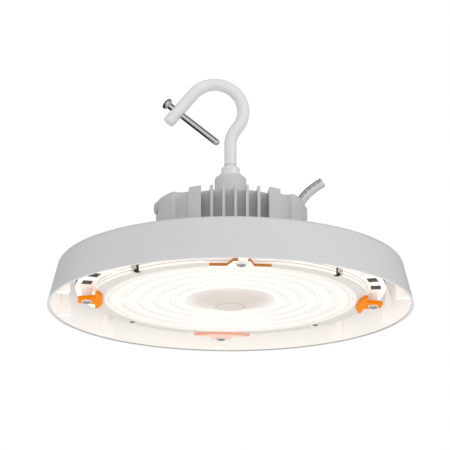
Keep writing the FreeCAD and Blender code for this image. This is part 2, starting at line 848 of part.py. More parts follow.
# The housing's wall is hollowed above the lug, so that a spanner goes round the gland.
gland_room = cylinder(
    "gland_room_cut",
    "gland_flats / 2 / cos(30) + gland_room",
    "entry_top",
    "drum_top + 1",
    ENTRY,
)


def outward(name, radius, start, length, angle, height, kind="Part::Cylinder"):
    """Level cylinder that runs away from the Z axis, from one radius on, at an angle."""
    item = doc.addObject(kind, name)
    item.Placement.Rotation = Rotation(Vector(0, 0, 1), number(angle)).multiply(
        Rotation(Vector(0, 1, 0), 90)
    )
    return tie(
        item,
        Radius=radius,
        Height=length,
        x=f"({start}) * cos({angle})",
        y=f"({start}) * sin({angle})",
        z=height,
    )


# The lead's way from the gland's bore into the driver compartment.
lead_way = outward(
    "lead_way",
    "lead_radius",
    "bay_radius - lead_radius - 1",
    "sqrt(entry_x ^ 2 + entry_y ^ 2) - bay_radius + lead_radius + 1",
    "atan2(entry_y; entry_x)",
    "entry_top - gland_sink - 1",
)
plug_hole = outward(
    "plug_hole",
    "plug_stem + thread_gap",
    "drum_radius - ledge - 1",
    "ledge + 4",
    "plug_angle",
    "plug_z",
)
node(
    "driver_housing",
    cut(
        "housing_cut",
        fuse("housing_solid", [drum, pad, lug]),
        fuse(
            "housing_tools",
            [
                driver_bay("bay", "drum_floor", LEDGE),
                recess,
                gland_room,
                entry_bore,
                lead_way,
                plug_hole,
            ]
            + holes_at(
                "pillar_hole",
                pillar_places(),
                "four_shank",
                f"{LEDGE} - four_bite - tap_run",
                f"{LEDGE} + 1",
            )
            + holes_at(
                "housing_hole",
                HOUSING_SCREWS,
                "four_shank + hole_gap",
                f"{HOUSING_LOW} - 1",
                "drum_floor + 1",
            ),
        ),
    ),
)
node(
    "housing_screws",
    bundle(
        "housing_screw_set",
        [
            pan_screw(
                f"housing_screw_{index}",
                place,
                "drum_floor",
                "four_shank",
                "four_head",
                "four_head_height",
                f"drum_floor - ({HOUSING_LOW}) + plate_thick - blind_skin - stub_gap",
                False,
            )
            for index, place in enumerate(HOUSING_SCREWS)
        ],
    ),
)


# ---------------------------------------------------------------- driver and lid
driver = doc.addObject("Part::Box", "driver_block")
tie(
    driver,
    Length="driver_long",
    Width="driver_wide",
    Height="driver_tall",
    x="0 - driver_long / 2",
    y="0 - driver_wide / 2",
    z="drum_floor",
)
doc.recompute()
driver_edges = [
    index
    for index, edge in enumerate(driver.Shape.Edges, start=1)
    if abs(edge.Vertexes[0].Z - edge.Vertexes[-1].Z) > 1
]
soft_driver = doc.addObject("Part::Fillet", "driver_rounded")
soft_driver.Base = driver
soft_driver.Edges = [
    (index, number("driver_round"), number("driver_round")) for index in driver_edges
]
node("led_driver", soft_driver)

SEAL_TOP = f"{LEDGE} + seal_thick"
LID_TOP = f"{SEAL_TOP} + lid_thick"


def lid_plan(name, low, high):
    return plan_lobes(
        name,
        "bay_radius + ledge - lid_gap",
        "bay_reach + ledge - lid_gap",
        "bay_half + ledge - lid_gap",
        low,
        high,
    )


def lid_holes(name, low, high):
    return [
        cylinder(f"{name}_{index}", "four_shank + hole_gap", low, high, place)
        for index, place in enumerate(pillar_places())
    ]


SEAL_CUT = (f"{LEDGE} - 1", f"{SEAL_TOP} + 1")
node(
    "lid_gasket",
    cut(
        "seal_cut",
        lid_plan("seal_plan", LEDGE, SEAL_TOP),
        fuse("seal_tools", [driver_bay("seal_bay", *SEAL_CUT)] + lid_holes("seal_hole", *SEAL_CUT)),
    ),
)

# The lid's hub is a thick round boss with a well rounded top, bored for the hook's rod.
hub = revolved(
    "hub",
    [
        ("0", f"{LID_TOP} - 1"),
        ("hub_radius", f"{LID_TOP} - 1"),
        ("hub_radius", "hub_top"),
        ("0", "hub_top"),
    ],
)
round_rings(hub, [("hub_radius", "hub_top")], "hub_round")
hub_bore = cylinder("hub_bore", "rod_radius + rod_gap", "rod_foot - 0.3", "hub_top + 1")
node(
    "driver_lid",
    cut(
        "lid_cut",
        fuse("lid_solid", [lid_plan("lid_plate", SEAL_TOP, LID_TOP), hub]),
        fuse("lid_tools", [hub_bore] + lid_holes("lid_hole", f"{SEAL_TOP} - 1", f"{LID_TOP} + 1")),
    ),
)
node(
    "lid_screws",
    bundle(
        "lid_screw_set",
        [
            pan_screw(
                f"lid_screw_{index}",
                place,
                LID_TOP,
                "four_shank",
                "four_head",
                "four_head_height",
                "lid_thick + seal_thick + four_bite",
                False,
            )
            for index, place in enumerate(pillar_places())
        ],
    ),
)
node(
    "shade_screws",
    bundle(
        "shade_screw_set",
        [
            pan_screw(
                f"shade_screw_{index}",
                place,
                "shade_height",
                "four_shank",
                "four_head",
                "four_head_height",
                "shade_wall + four_bite",
                False,
            )
            for index, place in enumerate(COLUMNS)
        ],
    ),
)


# ---------------------------------------------------------------- hook
# One bent rod: a shank up out of the hub, a short neck that leans out, a bow round and over
# the top, and an open leg that the keeper screw closes.
BEND_END = ("neck_bend - neck_bend * cos(neck_turn)", "shank_top + neck_bend * sin(neck_turn)")
BOW_START = ("bow_x + bow_bend * cos(neck_turn)", "bow_z - bow_bend * sin(neck_turn)")
BOW_STOP = ("bow_x + bow_bend * cos(bow_end)", "bow_z + bow_bend * sin(bow_end)")
LEG_STOP = (
    f"{BOW_STOP[0]} - leg_length * sin(bow_end)",
    f"{BOW_STOP[1]} + leg_length * cos(bow_end)",
)


def flat(place):
    return Vector(number(place[0]), number(place[1]), 0)


def bow_through(start, middle, stop):
    return Part.ArcOfCircle(flat(start), flat(middle), flat(stop))


hook_body = doc.addObject("PartDesign::Body", "hook_body")
spine = sketch_on(hook_body, "XZ_Plane", "hook_line")
stations = [("0", "rod_foot"), ("0", "shank_top"), BEND_END, BOW_START, BOW_STOP, LEG_STOP]
bend_middle = (
    "neck_bend - neck_bend * cos(neck_turn / 2)",
    "shank_top + neck_bend * sin(neck_turn / 2)",
)
bow_middle = ("bow_x", "bow_z + bow_bend")
spine.addGeometry(Part.LineSegment(flat(stations[0]), flat(stations[1])))
spine.addGeometry(bow_through(stations[1], bend_middle, stations[2]))
spine.addGeometry(Part.LineSegment(flat(stations[2]), flat(stations[3])))
spine.addGeometry(bow_through(stations[3], bow_middle, stations[4]))
spine.addGeometry(Part.LineSegment(flat(stations[4]), flat(stations[5])))
pin_down(spine, 0, 1, stations[0])
pin_down(spine, 0, 2, stations[1])
pin_down(spine, 2, 1, stations[2])
pin_down(spine, 2, 2, stations[3])
pin_down(spine, 4, 1, stations[4])
pin_down(spine, 4, 2, stations[5])
# An arc keeps its ends in counter-clockwise order: the neck's first end is its upper one.
for first, first_end, second, second_end in [(0, 2, 1, 2), (2, 1, 1, 1), (2, 2, 3, 1), (4, 1, 3, 2)]:
    spine.addConstraint(Sketcher.Constraint("Coincident", first, first_end, second, second_end))
for geometry, radius in ((1, "neck_bend"), (3, "bow_bend")):
    held = spine.addConstraint(Sketcher.Constraint("Radius", geometry, number(radius)))
    spine.setExpression(f"Constraints[{held}]", sized(radius))
rod_section = sketch_on(hook_body, "XY_Plane", "rod_section", lift="rod_foot")
circle_in(rod_section, ("0", "0"), "rod_radius")
rod = hook_body.newObject("PartDesign::AdditivePipe", "rod")
rod.Profile = rod_section
rod.Spine = spine
doc.recompute()
tip = hook_body.newObject("PartDesign::Fillet", "rod_tip")
tip_point = Vector(number(LEG_STOP[0]), 0, number(LEG_STOP[1]))
tip.Base = (
    rod,
    [
        f"Edge{index}"
        for index, edge in enumerate(rod.Shape.Edges, start=1)
        if isinstance(edge.Curve, Part.Circle)
        and edge.Curve.Center.distanceToPoint(tip_point) < 0.01
    ],
)
tip.setExpression("Radius", sized("tip_round"))
doc.recompute()


def across_leg(name, radius, start, stop, end_radius=None):
    """Cylinder, or a cone, on the keeper screw's axis, square to the hook's leg."""
    item = doc.addObject("Part::Cone" if end_radius else "Part::Cylinder", name)
    item.Placement.Rotation = Rotation(Vector(0, 1, 0), 270 - number("bow_end"))
    item.setExpression("Placement.Rotation.Angle", sized("270 - bow_end"))
    radii = {"Radius1": radius, "Radius2": end_radius} if end_radius else {"Radius": radius}
    place_x = f"{BOW_STOP[0]} - keeper_place * sin(bow_end)"
    place_z = f"{BOW_STOP[1]} + keeper_place * cos(bow_end)"
    return tie(
        item,
        Height=f"({stop}) - ({start})",
        x=f"{place_x} - ({start}) * cos(bow_end)",
        y="0",
        z=f"{place_z} - ({start}) * sin(bow_end)",
        **radii,
    )


node(
    "hook",
    cut(
        "hook_drilled",
        hook_body,
        across_leg("keeper_hole", "keeper_radius + thread_gap", "0 - 12", "12"),
    ),
)
keeper_cap = across_leg(
    "keeper_cap", "keeper_head", "0 - keeper_back - keeper_head_height", "0 - keeper_back"
)
keeper_flare = across_leg(
    "keeper_flare_cone",
    "keeper_head",
    "0 - keeper_back",
    "0 - keeper_back + keeper_flare",
    "keeper_radius",
)
leg_middle = Vector(number(BOW_STOP[0]), 0, number(BOW_STOP[1]))
node(
    "keeper_screw",
    fuse(
        "keeper",
        [
            crowned("keeper_head_part", keeper_cap, leg_middle, "keeper_crown"),
            keeper_flare,
            across_leg("keeper_shank", "keeper_radius", "0 - keeper_back", "keeper_reach"),
        ],
    ),
)

WASHER_TOP = "hub_top + washer_thick"
node(
    "hook_washer",
    revolved(
        "washer_body",
        [
            ("rod_radius + rod_gap", "hub_top"),
            ("washer_radius", "hub_top"),
            ("washer_radius", WASHER_TOP),
            ("rod_radius + rod_gap", WASHER_TOP),
        ],
    ),
)
collar = revolved(
    "collar_body",
    [
        ("rod_radius + rod_gap", WASHER_TOP),
        ("collar_radius", WASHER_TOP),
        ("collar_radius", f"{WASHER_TOP} + collar_height"),
        ("rod_radius + rod_gap", f"{WASHER_TOP} + collar_height"),
    ],
)
round_rings(
    collar,
    [("collar_radius", f"{WASHER_TOP} + collar_height")],
    "collar_chamfer",
    "PartDesign::Chamfer",
)
node("hook_nut", collar)


# ---------------------------------------------------------------- cable gland and cord
FLANGE_TOP = "entry_top + gland_flange"
COLLET_TOP = f"{FLANGE_TOP} + gland_collet_height"
NUT_TOP = f"{FLANGE_TOP} + gland_nut_height"
CORD_HOLE = "cord_radius + cord_gap"


def hexagon(name, flats, low, high):
    item = doc.addObject("Part::Prism", name)
    item.Polygon = 6
    return tie(
        item,
        Circumradius=f"({flats}) / 2 / cos(30)",
        Height=f"({high}) - ({low})",
        x=ENTRY[0],
        y=ENTRY[1],
        z=low,
    )


node(
    "gland_body",
    cut(
        "gland_body_cut",
        fuse(
            "gland_body_solid",
            [
                cylinder("gland_stub", "gland_thread", "entry_top - gland_sink", "entry_top", ENTRY),
                hexagon("gland_hex", "gland_flats", "entry_top", FLANGE_TOP),
                cylinder("gland_tube", "gland_collet", FLANGE_TOP, COLLET_TOP, ENTRY),
            ],
        ),
        cylinder("gland_bore", CORD_HOLE, "entry_top - gland_sink - 1", f"{COLLET_TOP} + 1", ENTRY),
    ),
)
nut_shell = revolved(
    "nut_shell",
    [
        ("0", FLANGE_TOP),
        ("gland_nut_radius", FLANGE_TOP),
        ("gland_nut_radius", NUT_TOP),
        ("0", NUT_TOP),
    ],
)
round_rings(
    nut_shell, [("gland_nut_radius", NUT_TOP)], "gland_nut_crown", "PartDesign::Chamfer"
)
tie(nut_shell, x=ENTRY[0], y=ENTRY[1])
NUT_ROOF = f"{NUT_TOP} - gland_nut_roof"
node(
    "gland_nut",
    cut(
        "gland_nut_cut",
        nut_shell,
        fuse(
            "gland_nut_tools",
            [
                cylinder("nut_inside", "gland_collet + cord_gap", f"{FLANGE_TOP} - 1", NUT_ROOF, ENTRY),
                cylinder("nut_mouth", CORD_HOLE, f"{NUT_ROOF} - 1", f"{NUT_TOP} + 1", ENTRY),
            ],
        ),
    ),
)
node(
    "gland_seal",
    cut(
        "gland_seal_cut",
        cylinder("seal_ring", "gland_collet", COLLET_TOP, NUT_ROOF, ENTRY),
        cylinder("seal_ring_bore", "cord_radius + seal_grip", f"{COLLET_TOP} - 1", f"{NUT_ROOF} + 1", ENTRY),
    ),
)

# The cord rises out of its gland and arches over to the right; it is cut off there.
# Its route is measured from the middle of the lug's top.
CORD_RISE = [
    (0, 0, 7.2),
    (0, 0, 19.2),
    (2.30, -0.16, 31.0),
    (6.98, -0.49, 42.0),
    (13.67, -0.95, 52.0),
    (21.55, -1.51, 59.6),
    (30.73, -2.15, 65.6),
]
LUG_MIDDLE = Vector(number("entry_x"), number("entry_y"), number("entry_top"))
CORD_ROUTE = [LUG_MIDDLE + Vector(*step) for step in CORD_RISE]
CORD_BEND_SHARE = 0.45  # share of the shorter run that a bend takes up


def cord_path(points):
    """Straight runs joined by tangent arcs; prints each arc's radius."""
    edges, here, radii = [], points[0], []
    for before, corner, after in zip(points, points[1:], points[2:]):
        back, on = before - corner, after - corner
        reach = CORD_BEND_SHARE * min(back.Length, on.Length)
        half = (math.pi - back.getAngle(on)) / 2
        radii.append(reach / math.tan(half))
        start = corner + back.normalize() * reach
        stop = corner + on.normalize() * reach
        middle_way = (back + on).normalize()
        middle = corner + middle_way * (radii[-1] / math.cos(half) - radii[-1])
        edges.append(Part.LineSegment(here, start).toShape())
        edges.append(Part.Arc(start, middle, stop).toShape())
        here = stop
    edges.append(Part.LineSegment(here, points[-1]).toShape())
    print("cord bend radii, mm:", [round(radius, 1) for radius in radii])
    return Part.Wire(edges)


path = cord_path(CORD_ROUTE)
ring = Part.Wire(Part.Circle(CORD_ROUTE[0], Vector(0, 0, 1), number("cord_radius")).toShape())
cord = doc.addObject("Part::Feature", "cord")
cord.Shape = path.makePipeShell([ring], True, False)
expected = math.pi * number("cord_radius") ** 2 * path.Length
print("cord length, mm:", round(path.Length, 1), "volume ratio:", round(cord.Shape.Volume / expected, 4))
node("power_cord", cord)


# ---------------------------------------------------------------- breather plug
plug_cap = outward(
    "plug_cap_disc",
    "plug_radius",
    "drum_radius - plug_overlap",
    "plug_cap + plug_overlap",
    "plug_angle",
    "plug_z",
)
plug_stem = outward(
    "plug_stem_rod",
    "plug_stem",
    "drum_radius - ledge + stub_gap",
    "ledge",
    "plug_angle",
    "plug_z",
)
node(
    "breather_plug",
    cut(
        "plug_seated",
        fuse(
            "plug_solid",
            [crowned("plug_crown_part", plug_cap, Vector(0, 0, number("plug_z")), "plug_crown"), plug_stem],
        ),
        cut(
            "plug_wall",
            cylinder("plug_wall_out", "drum_radius", "plug_z - 20", "plug_z + 20"),
            plug_hole,
        ),
    ),
)


# ---------------------------------------------------------------- light engine
LENS_LOW = "frame_low + frame_lip_thick"
LENS_TOP = f"{LENS_LOW} + lens_thick"
BOARD_LOW = "plate_low - board_thick"
frame_ring = revolved(
    "frame_ring",
    [
        ("frame_lip", "frame_low"),
        ("frame_radius", "frame_low"),
        ("frame_radius", "plate_low"),
        ("lens_radius + lens_gap", "plate_low"),
        ("lens_radius + lens_gap", LENS_LOW),
        ("frame_lip", LENS_LOW),
    ],
)
frame_tools = [
    box(
        f"notch_{angle}",
        "notch_floor",
        "frame_radius + 2",
        "2 * notch_half",
        "frame_low - 1",
        "plate_low + 1",
        angle,
    )
    for angle in CLIP_ANGLES.values()
]
for angle in DIAGONALS:
    place = turned_to("post_circle", angle)
    frame_tools.append(
        cylinder(f"relief_{angle}", "post_relief", "frame_low - 1", "plate_low - 2", place)
    )
    frame_tools.append(
        cylinder(f"post_way_{angle}", "four_shank + hole_gap", "frame_low", "plate_low + 1", place)
    )
node("lens_frame", cut("frame_cut", frame_ring, fuse("frame_tools", frame_tools)))

# The lens is one moulded disc with a low ridge round each ring of LEDs.
RING_RADII = [f"ring_first + {ring} * ring_pitch" for ring in range(len(RING_LEDS))]
section = [("lens_opening", LENS_TOP), ("lens_opening", LENS_LOW)]
for radius in RING_RADII:
    section += [
        (f"{radius} - ridge_half", LENS_LOW),
        (f"{radius} - ridge_half / 2", f"{LENS_LOW} - ridge_height"),
        (f"{radius} + ridge_half / 2", f"{LENS_LOW} - ridge_height"),
        (f"{radius} + ridge_half", LENS_LOW),
    ]
section += [("lens_radius", LENS_LOW), ("lens_radius", LENS_TOP)]
node("lens", revolved("lens_body", section))
node(
    "lens_gasket",
    revolved(
        "lens_seal",
        [
            ("lens_radius - lens_seal_width", LENS_TOP),
            ("lens_radius", LENS_TOP),
            ("lens_radius", "plate_low"),
            ("lens_radius - lens_seal_width", "plate_low"),
        ],
    ),
)
node(
    "led_board",
    cut(
        "board_cut",
        cylinder("board_disc", "board_radius", BOARD_LOW, "plate_low"),
        fuse(
            "board_tools",
            [cylinder("board_middle", "board_opening", f"{BOARD_LOW} - 1", "plate_low + 1")]
            + holes_at(
                "board_way", BOARD_PLACES, "three_shank + hole_gap", f"{BOARD_LOW} - 1", "plate_low + 1"
            ),
        ),
    ),
)
leds = []
for ring, count in enumerate(RING_LEDS):
    for index in range(count):
        leds.append(
            box(
                f"led_{ring}_{index}",
                f"{RING_RADII[ring]} - chip_side / 2",
                f"{RING_RADII[ring]} + chip_side / 2",
                "chip_side",
                f"{BOARD_LOW} - chip_thick",
                BOARD_LOW,
                index * 360 / count,
            )
        )
node("leds", bundle("led_set", leds))
node(
    "board_screws",
    bundle(
        "board_screw_set",
        [
            pan_screw(
                f"board_screw_{index}",
                place,
                BOARD_LOW,
                "three_shank",
                "three_head",
                "three_head_height",
                "board_thick + three_bite",
                True,
            )
            for index, place in enumerate(BOARD_PLACES)
        ],
    ),
)

# Sensor: a socket on the plate, and a shallow cone of a cover with a flat middle over it.
node(
    "sensor_socket",
    revolved(
        "socket_body",
        [
            ("0", "plate_low"),
            ("socket_radius", "plate_low"),
            ("socket_radius", LENS_TOP),
            ("socket_radius * 0.6", LENS_TOP),
            ("socket_radius * 0.45", f"{LENS_TOP} - 4"),
            ("0", f"{LENS_TOP} - 4"),
        ],
    ),
)
dome = revolved(
    "dome_body",
    [
        ("0", "dome_low"),
        ("dome_flat", "dome_low"),
        ("dome_radius", "dome_edge"),
        ("dome_radius", LENS_TOP),
        ("dome_radius - dome_wall * 2", LENS_TOP),
        ("dome_radius - dome_wall * 2", "dome_edge + 0.6"),
        ("dome_flat", "dome_low + dome_wall"),
        ("0", "dome_low + dome_wall"),
    ],
)
node("sensor_cover", dome)

# Retaining clips: flat T-shaped springs; the bar and lip lie under the frame and the lens's
# edge, and the tongue is pushed over its post.
CLIP_OUTLINE = [
    ("clip_lip", "0 - clip_lip_half"),
    ("clip_bar_in", "0 - clip_bar_half"),
    ("clip_bar_out - 0.6", "0 - clip_bar_half"),
    ("clip_bar_out", "0 - clip_root_half"),
    ("clip_end", "0 - clip_tip_half"),
    ("clip_end", "clip_tip_half"),
    ("clip_bar_out", "clip_root_half"),
    ("clip_bar_out - 0.6", "clip_bar_half"),
    ("clip_bar_in", "clip_bar_half"),
    ("clip_lip", "clip_lip_half"),
]
for side, angle in CLIP_ANGLES.items():
    blank = padded(f"clip_{side}_body", CLIP_OUTLINE, "clip_low", "clip_thick", spin=angle)
    eye = cylinder(
        f"clip_{side}_eye",
        "boss_radius + boss_gap",
        "clip_low - 1",
        "clip_low + clip_thick + 1",
        turned_to("boss_circle", angle),
    )
    node(f"clip_{side}", cut(f"clip_{side}_cut", blank, eye))
node(
    "clip_screws",
    bundle(
        "clip_screw_set",
        [
            pan_screw(
                f"clip_screw_{index}",
                place,
                "clip_low - boss_stand",
                "four_shank",
                "four_head",
                "four_low_head_height",
                "clip_screw_length",
                True,
            )
            for index, place in enumerate(CLIP_POSTS)
        ],
    ),
)
node(
    "accessory_screws",
    bundle(
        "accessory_screw_set",
        [
            pan_screw(
                f"accessory_screw_{index}",
                place,
                "post_head_low + four_head_height",
                "four_shank",
                "four_head",
                "four_head_height",
                f"{PLATE_TOP} + post_tall - 1 - post_head_low - four_head_height",
                True,
            )
            for index, place in enumerate(ACCESSORIES)
        ],
    ),
)

# ---------------------------------------------------------------- check and write
doc.recompute()
failed = [
    item.Name
    for item in doc.Objects
    if any(word in item.State for word in ("Invalid", "Error"))
]
for name, item in NODES.items():
    shape = item.Shape
    if shape.isNull() or not shape.isValid() or not shape.Solids:
        failed.append(name)
if failed:
    raise RuntimeError("failed: " + ", ".join(failed))
os.makedirs("parts", exist_ok=True)
for name, item in NODES.items():
    item.Shape.exportStep(os.path.join("parts", name + ".step"))
    print(f"{name}: {len(item.Shape.Solids)} solid(s), {item.Shape.Volume / 1000:.1f} cm3")
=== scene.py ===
# %% [markdown]
# # A hanging high bay light
# The CAD model holds every solid piece at its real size. This lesson dresses it. It sets up
# the camera, makes each finish of the real light from shader nodes and lights the studio. It
# also models what is too fine for the CAD: the lens's small bumps, the rounded screw heads
# with their cross recesses, and the round end of the long screw that closes the hook.

# %% Load the CAD model and count its pieces
import json
import math
import bmesh
import bpy
from mathutils import Matrix, Vector


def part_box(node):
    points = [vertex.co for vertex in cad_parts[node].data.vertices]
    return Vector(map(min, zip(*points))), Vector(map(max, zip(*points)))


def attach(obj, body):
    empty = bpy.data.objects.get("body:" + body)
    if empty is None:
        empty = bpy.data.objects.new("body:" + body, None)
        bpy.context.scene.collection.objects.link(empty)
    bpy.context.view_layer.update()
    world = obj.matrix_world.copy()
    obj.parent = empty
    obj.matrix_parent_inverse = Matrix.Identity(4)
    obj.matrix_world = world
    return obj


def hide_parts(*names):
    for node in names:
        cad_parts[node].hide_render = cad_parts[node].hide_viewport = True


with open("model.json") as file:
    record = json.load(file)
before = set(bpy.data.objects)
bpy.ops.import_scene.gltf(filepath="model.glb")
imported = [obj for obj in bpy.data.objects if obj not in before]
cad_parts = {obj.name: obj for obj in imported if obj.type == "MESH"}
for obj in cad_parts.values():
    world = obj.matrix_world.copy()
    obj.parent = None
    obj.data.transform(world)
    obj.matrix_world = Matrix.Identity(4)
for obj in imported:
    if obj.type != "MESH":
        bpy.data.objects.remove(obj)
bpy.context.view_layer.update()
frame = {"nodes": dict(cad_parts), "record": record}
nodes = frame["nodes"]
MM = 0.001
print("pieces from the CAD model:", len(nodes))

# %% [markdown]
# ## Camera
# The light hangs well above the floor and is seen from below, from a long way off. A long
# lens keeps the ellipse of the rim as flat as it looks from a distance. The light itself is
# turned a few degrees to the left of the line of sight.

# %% Camera
CAMERA_PLACE = (-0.1279, -1.8296, -0.4865)
CAMERA_PITCH = 17.12
CAMERA_YAW = -3.843
CAMERA_LENS = 168.3
scene = bpy.context.scene
camera_data = bpy.data.cameras.new("camera")
camera_data.lens = CAMERA_LENS
camera_data.sensor_width = 36
camera_data.clip_end = 100
camera = bpy.data.objects.new("camera", camera_data)
camera.location = CAMERA_PLACE
camera.rotation_euler = (math.radians(90 + CAMERA_PITCH), 0, math.radians(CAMERA_YAW))
scene.collection.objects.link(camera)
scene.camera = camera
print("camera stands", round(camera.location.length, 2), "m from the rim's centre")

# %% [markdown]
# ## Power cord
# The power cord is a round cable, 9.2 mm thick. It is stiff enough to hold its own arch: it
# rises straight out of its gland, leans over to the right and ends in a clean cut. One
# smooth spline follows the same route as the CAD tube. The box round a curve grows by the
# radius of its points, so the points carry the cord's radius and the bevel stays at 1.

# %% Power cord
CORD_ROUTE = [
    (59.35, 45.97, 77.2),
    (59.35, 45.97, 89.2),
    (61.65, 45.81, 101.0),
    (66.33, 45.48, 112.0),
    (73.02, 45.02, 122.0),
    (80.90, 44.46, 129.6),
    (90.08, 43.82, 135.6),
]
CORD_THICK = 9.2
cord_curve = bpy.data.curves.new("power_cord", "CURVE")
cord_curve.dimensions = "3D"
cord_curve.bevel_depth = 1.0
cord_curve.bevel_resolution = 8
cord_curve.resolution_u = 16
cord_curve.use_fill_caps = True
spline = cord_curve.splines.new("NURBS")
spline.points.add(len(CORD_ROUTE) - 1)
for point, place in zip(spline.points, CORD_ROUTE):
    point.co = [value * MM for value in place] + [1]
    point.radius = CORD_THICK / 2 * MM
spline.order_u = 3
spline.use_endpoint_u = True
cord = bpy.data.objects.new("power_cord_jacket", cord_curve)
scene.collection.objects.link(cord)
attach(cord, "root")
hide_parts("power_cord")
print("cord spline points:", len(spline.points), "order", spline.order_u)


# %% [markdown]
# ## Colours and nodes
# Colours are written as hex values and turned linear by one function, because the renderer
# counts in linear light.

# %% Hex colours in linear light
def linear(hex_colour):
    """Linear RGBA of a hex sRGB colour."""
    channels = [int(hex_colour[i : i + 2], 16) / 255 for i in (1, 3, 5)]
    return tuple(
        c / 12.92 if c <= 0.04045 else ((c + 0.055) / 1.055) ** 2.4 for c in channels
    ) + (1.0,)


print("half grey in linear light:", round(linear("#808080")[0], 3))


# %% [markdown]
# Every node, of a material as of a shape, is added by one helper, which also sets its values
# and makes its links, so that a finish reads as a list of its layers. Where a node is given
# as a value, its result is linked.

# %% One helper for all nodes
def add(tree, kind, *values, stops=(), **named):
    """Add a node to a tree and hand it back.

    Plain values fill its sockets in order, and named ones go by the socket's name. Each is a
    number to set, a node or socket to link, or a list of them. A name in lower case is a
    setting of the node itself, which is made first, because it decides which sockets are in
    use. Stops are a colour ramp's (position, hex colour) pairs.
    """
    node = tree.nodes.new(kind)
    sockets = [(node.inputs[index], value) for index, value in enumerate(values)]
    for name, value in named.items():
        if name.islower():
            setattr(node, name, value)
    for name, value in named.items():
        if not name.islower():
            label = name.replace("_", " ")
            socket = next(s for s in node.inputs if s.enabled and s.name == label)
            sockets.append((socket, value))
    for socket, value in sockets:
        parts = value if isinstance(value, list) else [value]
        # a socket that takes many links puts its newest one first
        for part in reversed(parts):
            if isinstance(part, bpy.types.Node):
                part = next(result for result in part.outputs if result.enabled)
            if isinstance(part, bpy.types.NodeSocket):
                tree.links.new(part, socket)
            else:
                socket.default_value = part
    for index, (position, colour) in enumerate(stops):
        elements = node.color_ramp.elements
        element = elements[index] if index < 2 else elements.new(position)
        element.position = position
        element.color = linear(colour)
    return node


def where_all(tree, *masks):
    """A mask that is 1 where every one of the given masks is 1."""
    shared = masks[0]
    for mask in masks[1:]:
        shared = add(tree, "ShaderNodeMath", shared, mask, operation="MULTIPLY")
    return shared


print("helpers for nodes: add, where_all")


# %% [markdown]
# ## What the finishes share
# A material starts as an empty tree with its coordinates, which are those of the object
# itself, in metres. Two layers turn up in nearly all of them: a mottle, which is colour that
# drifts a little from place to place, and a fine grain. Their sizes are in millimetres.

# %% Start and close a material, mottle and grain
def start(name):
    """New empty material; gives the material, its tree and its coordinates."""
    material = bpy.data.materials.new(name)
    material.use_nodes = True
    tree = material.node_tree
    tree.nodes.clear()
    return material, tree, add(tree, "ShaderNodeTexCoord").outputs


def close(material, tree, **look):
    """Give the material a surface of this look and hand it back."""
    surface = add(tree, "ShaderNodeBsdfPrincipled", **look)
    add(tree, "ShaderNodeOutputMaterial", Surface=surface)
    return material


def cloud(tree, at, size_mm, detail=2.0):
    """Cloudy noise whose blobs are about the given size."""
    scale = 1 / (size_mm * MM)
    return add(tree, "ShaderNodeTexNoise", Vector=at["Object"], Scale=scale, Detail=detail)


def mottle(tree, clouds, light, dark):
    """Colour that drifts between a lighter and a darker shade."""
    return add(tree, "ShaderNodeValToRGB", clouds, stops=[(0.3, dark), (0.7, light)])


def grain(tree, at, size_mm, height_mm, strength=0.5):
    """Fine bumps of a given size and height."""
    bumps = cloud(tree, at, size_mm)
    return add(
        tree, "ShaderNodeBump", Height=bumps, Distance=height_mm * MM, Strength=strength
    )


print("shared layers: mottle and grain")


# %% [markdown]
# ## Plastics and paints
# Moulded plastic is a satin dielectric with a very fine eroded grain from its mould and a
# hardly visible mottle. Powder coat is thicker: its film draws into the shallow waves that
# painters call orange peel, a millimetre or so across. Both differ mostly in these sizes.

# %% Moulded plastic and powder coat
def moulded_plastic(name, light, dark, roughness, grain_mm=0.35):
    """Satin moulding with an eroded grain."""
    material, tree, at = start(name)
    return close(
        material,
        tree,
        Base_Color=mottle(tree, cloud(tree, at, 30), light, dark),
        Normal=grain(tree, at, grain_mm, 0.012),
        Roughness=roughness,
    )


def powder_coat(name, light, dark, roughness, peel_mm=1.1, peel_high=0.02, ring_at=None):
    """Baked powder paint; ring_at is the height, in mm, of a fine dark ring round it, if any."""
    material, tree, at = start(name)
    colour = mottle(tree, cloud(tree, at, 18), light, dark)
    if ring_at:
        height = add(tree, "ShaderNodeSeparateXYZ", at["Object"]).outputs["Z"]
        ring = add(tree, "ShaderNodeMath", height, ring_at * MM, 0.35 * MM, operation="COMPARE")
        colour = add(
            tree, "ShaderNodeMix", data_type="RGBA", Factor=ring, A=colour, B=linear("#A6A6A7")
        )
    return close(
        material,
        tree,
        Base_Color=colour,
        Normal=grain(tree, at, peel_mm, peel_high),
        Roughness=roughness,
    )


print("ways of finishing: moulded plastic, powder coat")

# %% [markdown]
# The housing and the hook are powder coated, and the gland is nylon. The hook's coat is
# smoother, and a fine dark line runs round its shank, just above the nut.

# %% Finishes of plastic and paint
SHANK_LINE_UP = 2.2
SHANK_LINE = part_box("hook_nut")[1].z / MM + SHANK_LINE_UP
finishes = {
    "gland_plastic": moulded_plastic("moulded_grey_nylon", "#C4C4C5", "#BDBDBE", 0.45),
    "housing_paint": powder_coat("housing_powder_coat", "#D2D2D3", "#CDCDCE", 0.5),
    "hook_paint": powder_coat(
        "hook_white_coat", "#E9E9EA", "#E5E5E6", 0.3, peel_mm=4, peel_high=0.004, ring_at=SHANK_LINE
    ),
    "silicone": moulded_plastic("pressed_silicone", "#8E8E8E", "#868686", 0.6),
    "seal_rubber": moulded_plastic("black_seal_rubber", "#1E1E1E", "#181818", 0.6),
    "board_white": powder_coat("white_solder_mask", "#F4F4F0", "#EEEEEA", 0.35, peel_mm=0.6),
    "post_paint": powder_coat("post_white_coat", "#F6F2EC", "#F1ECE6", 0.5),
}
print("plastics and paints:", ", ".join(finishes))
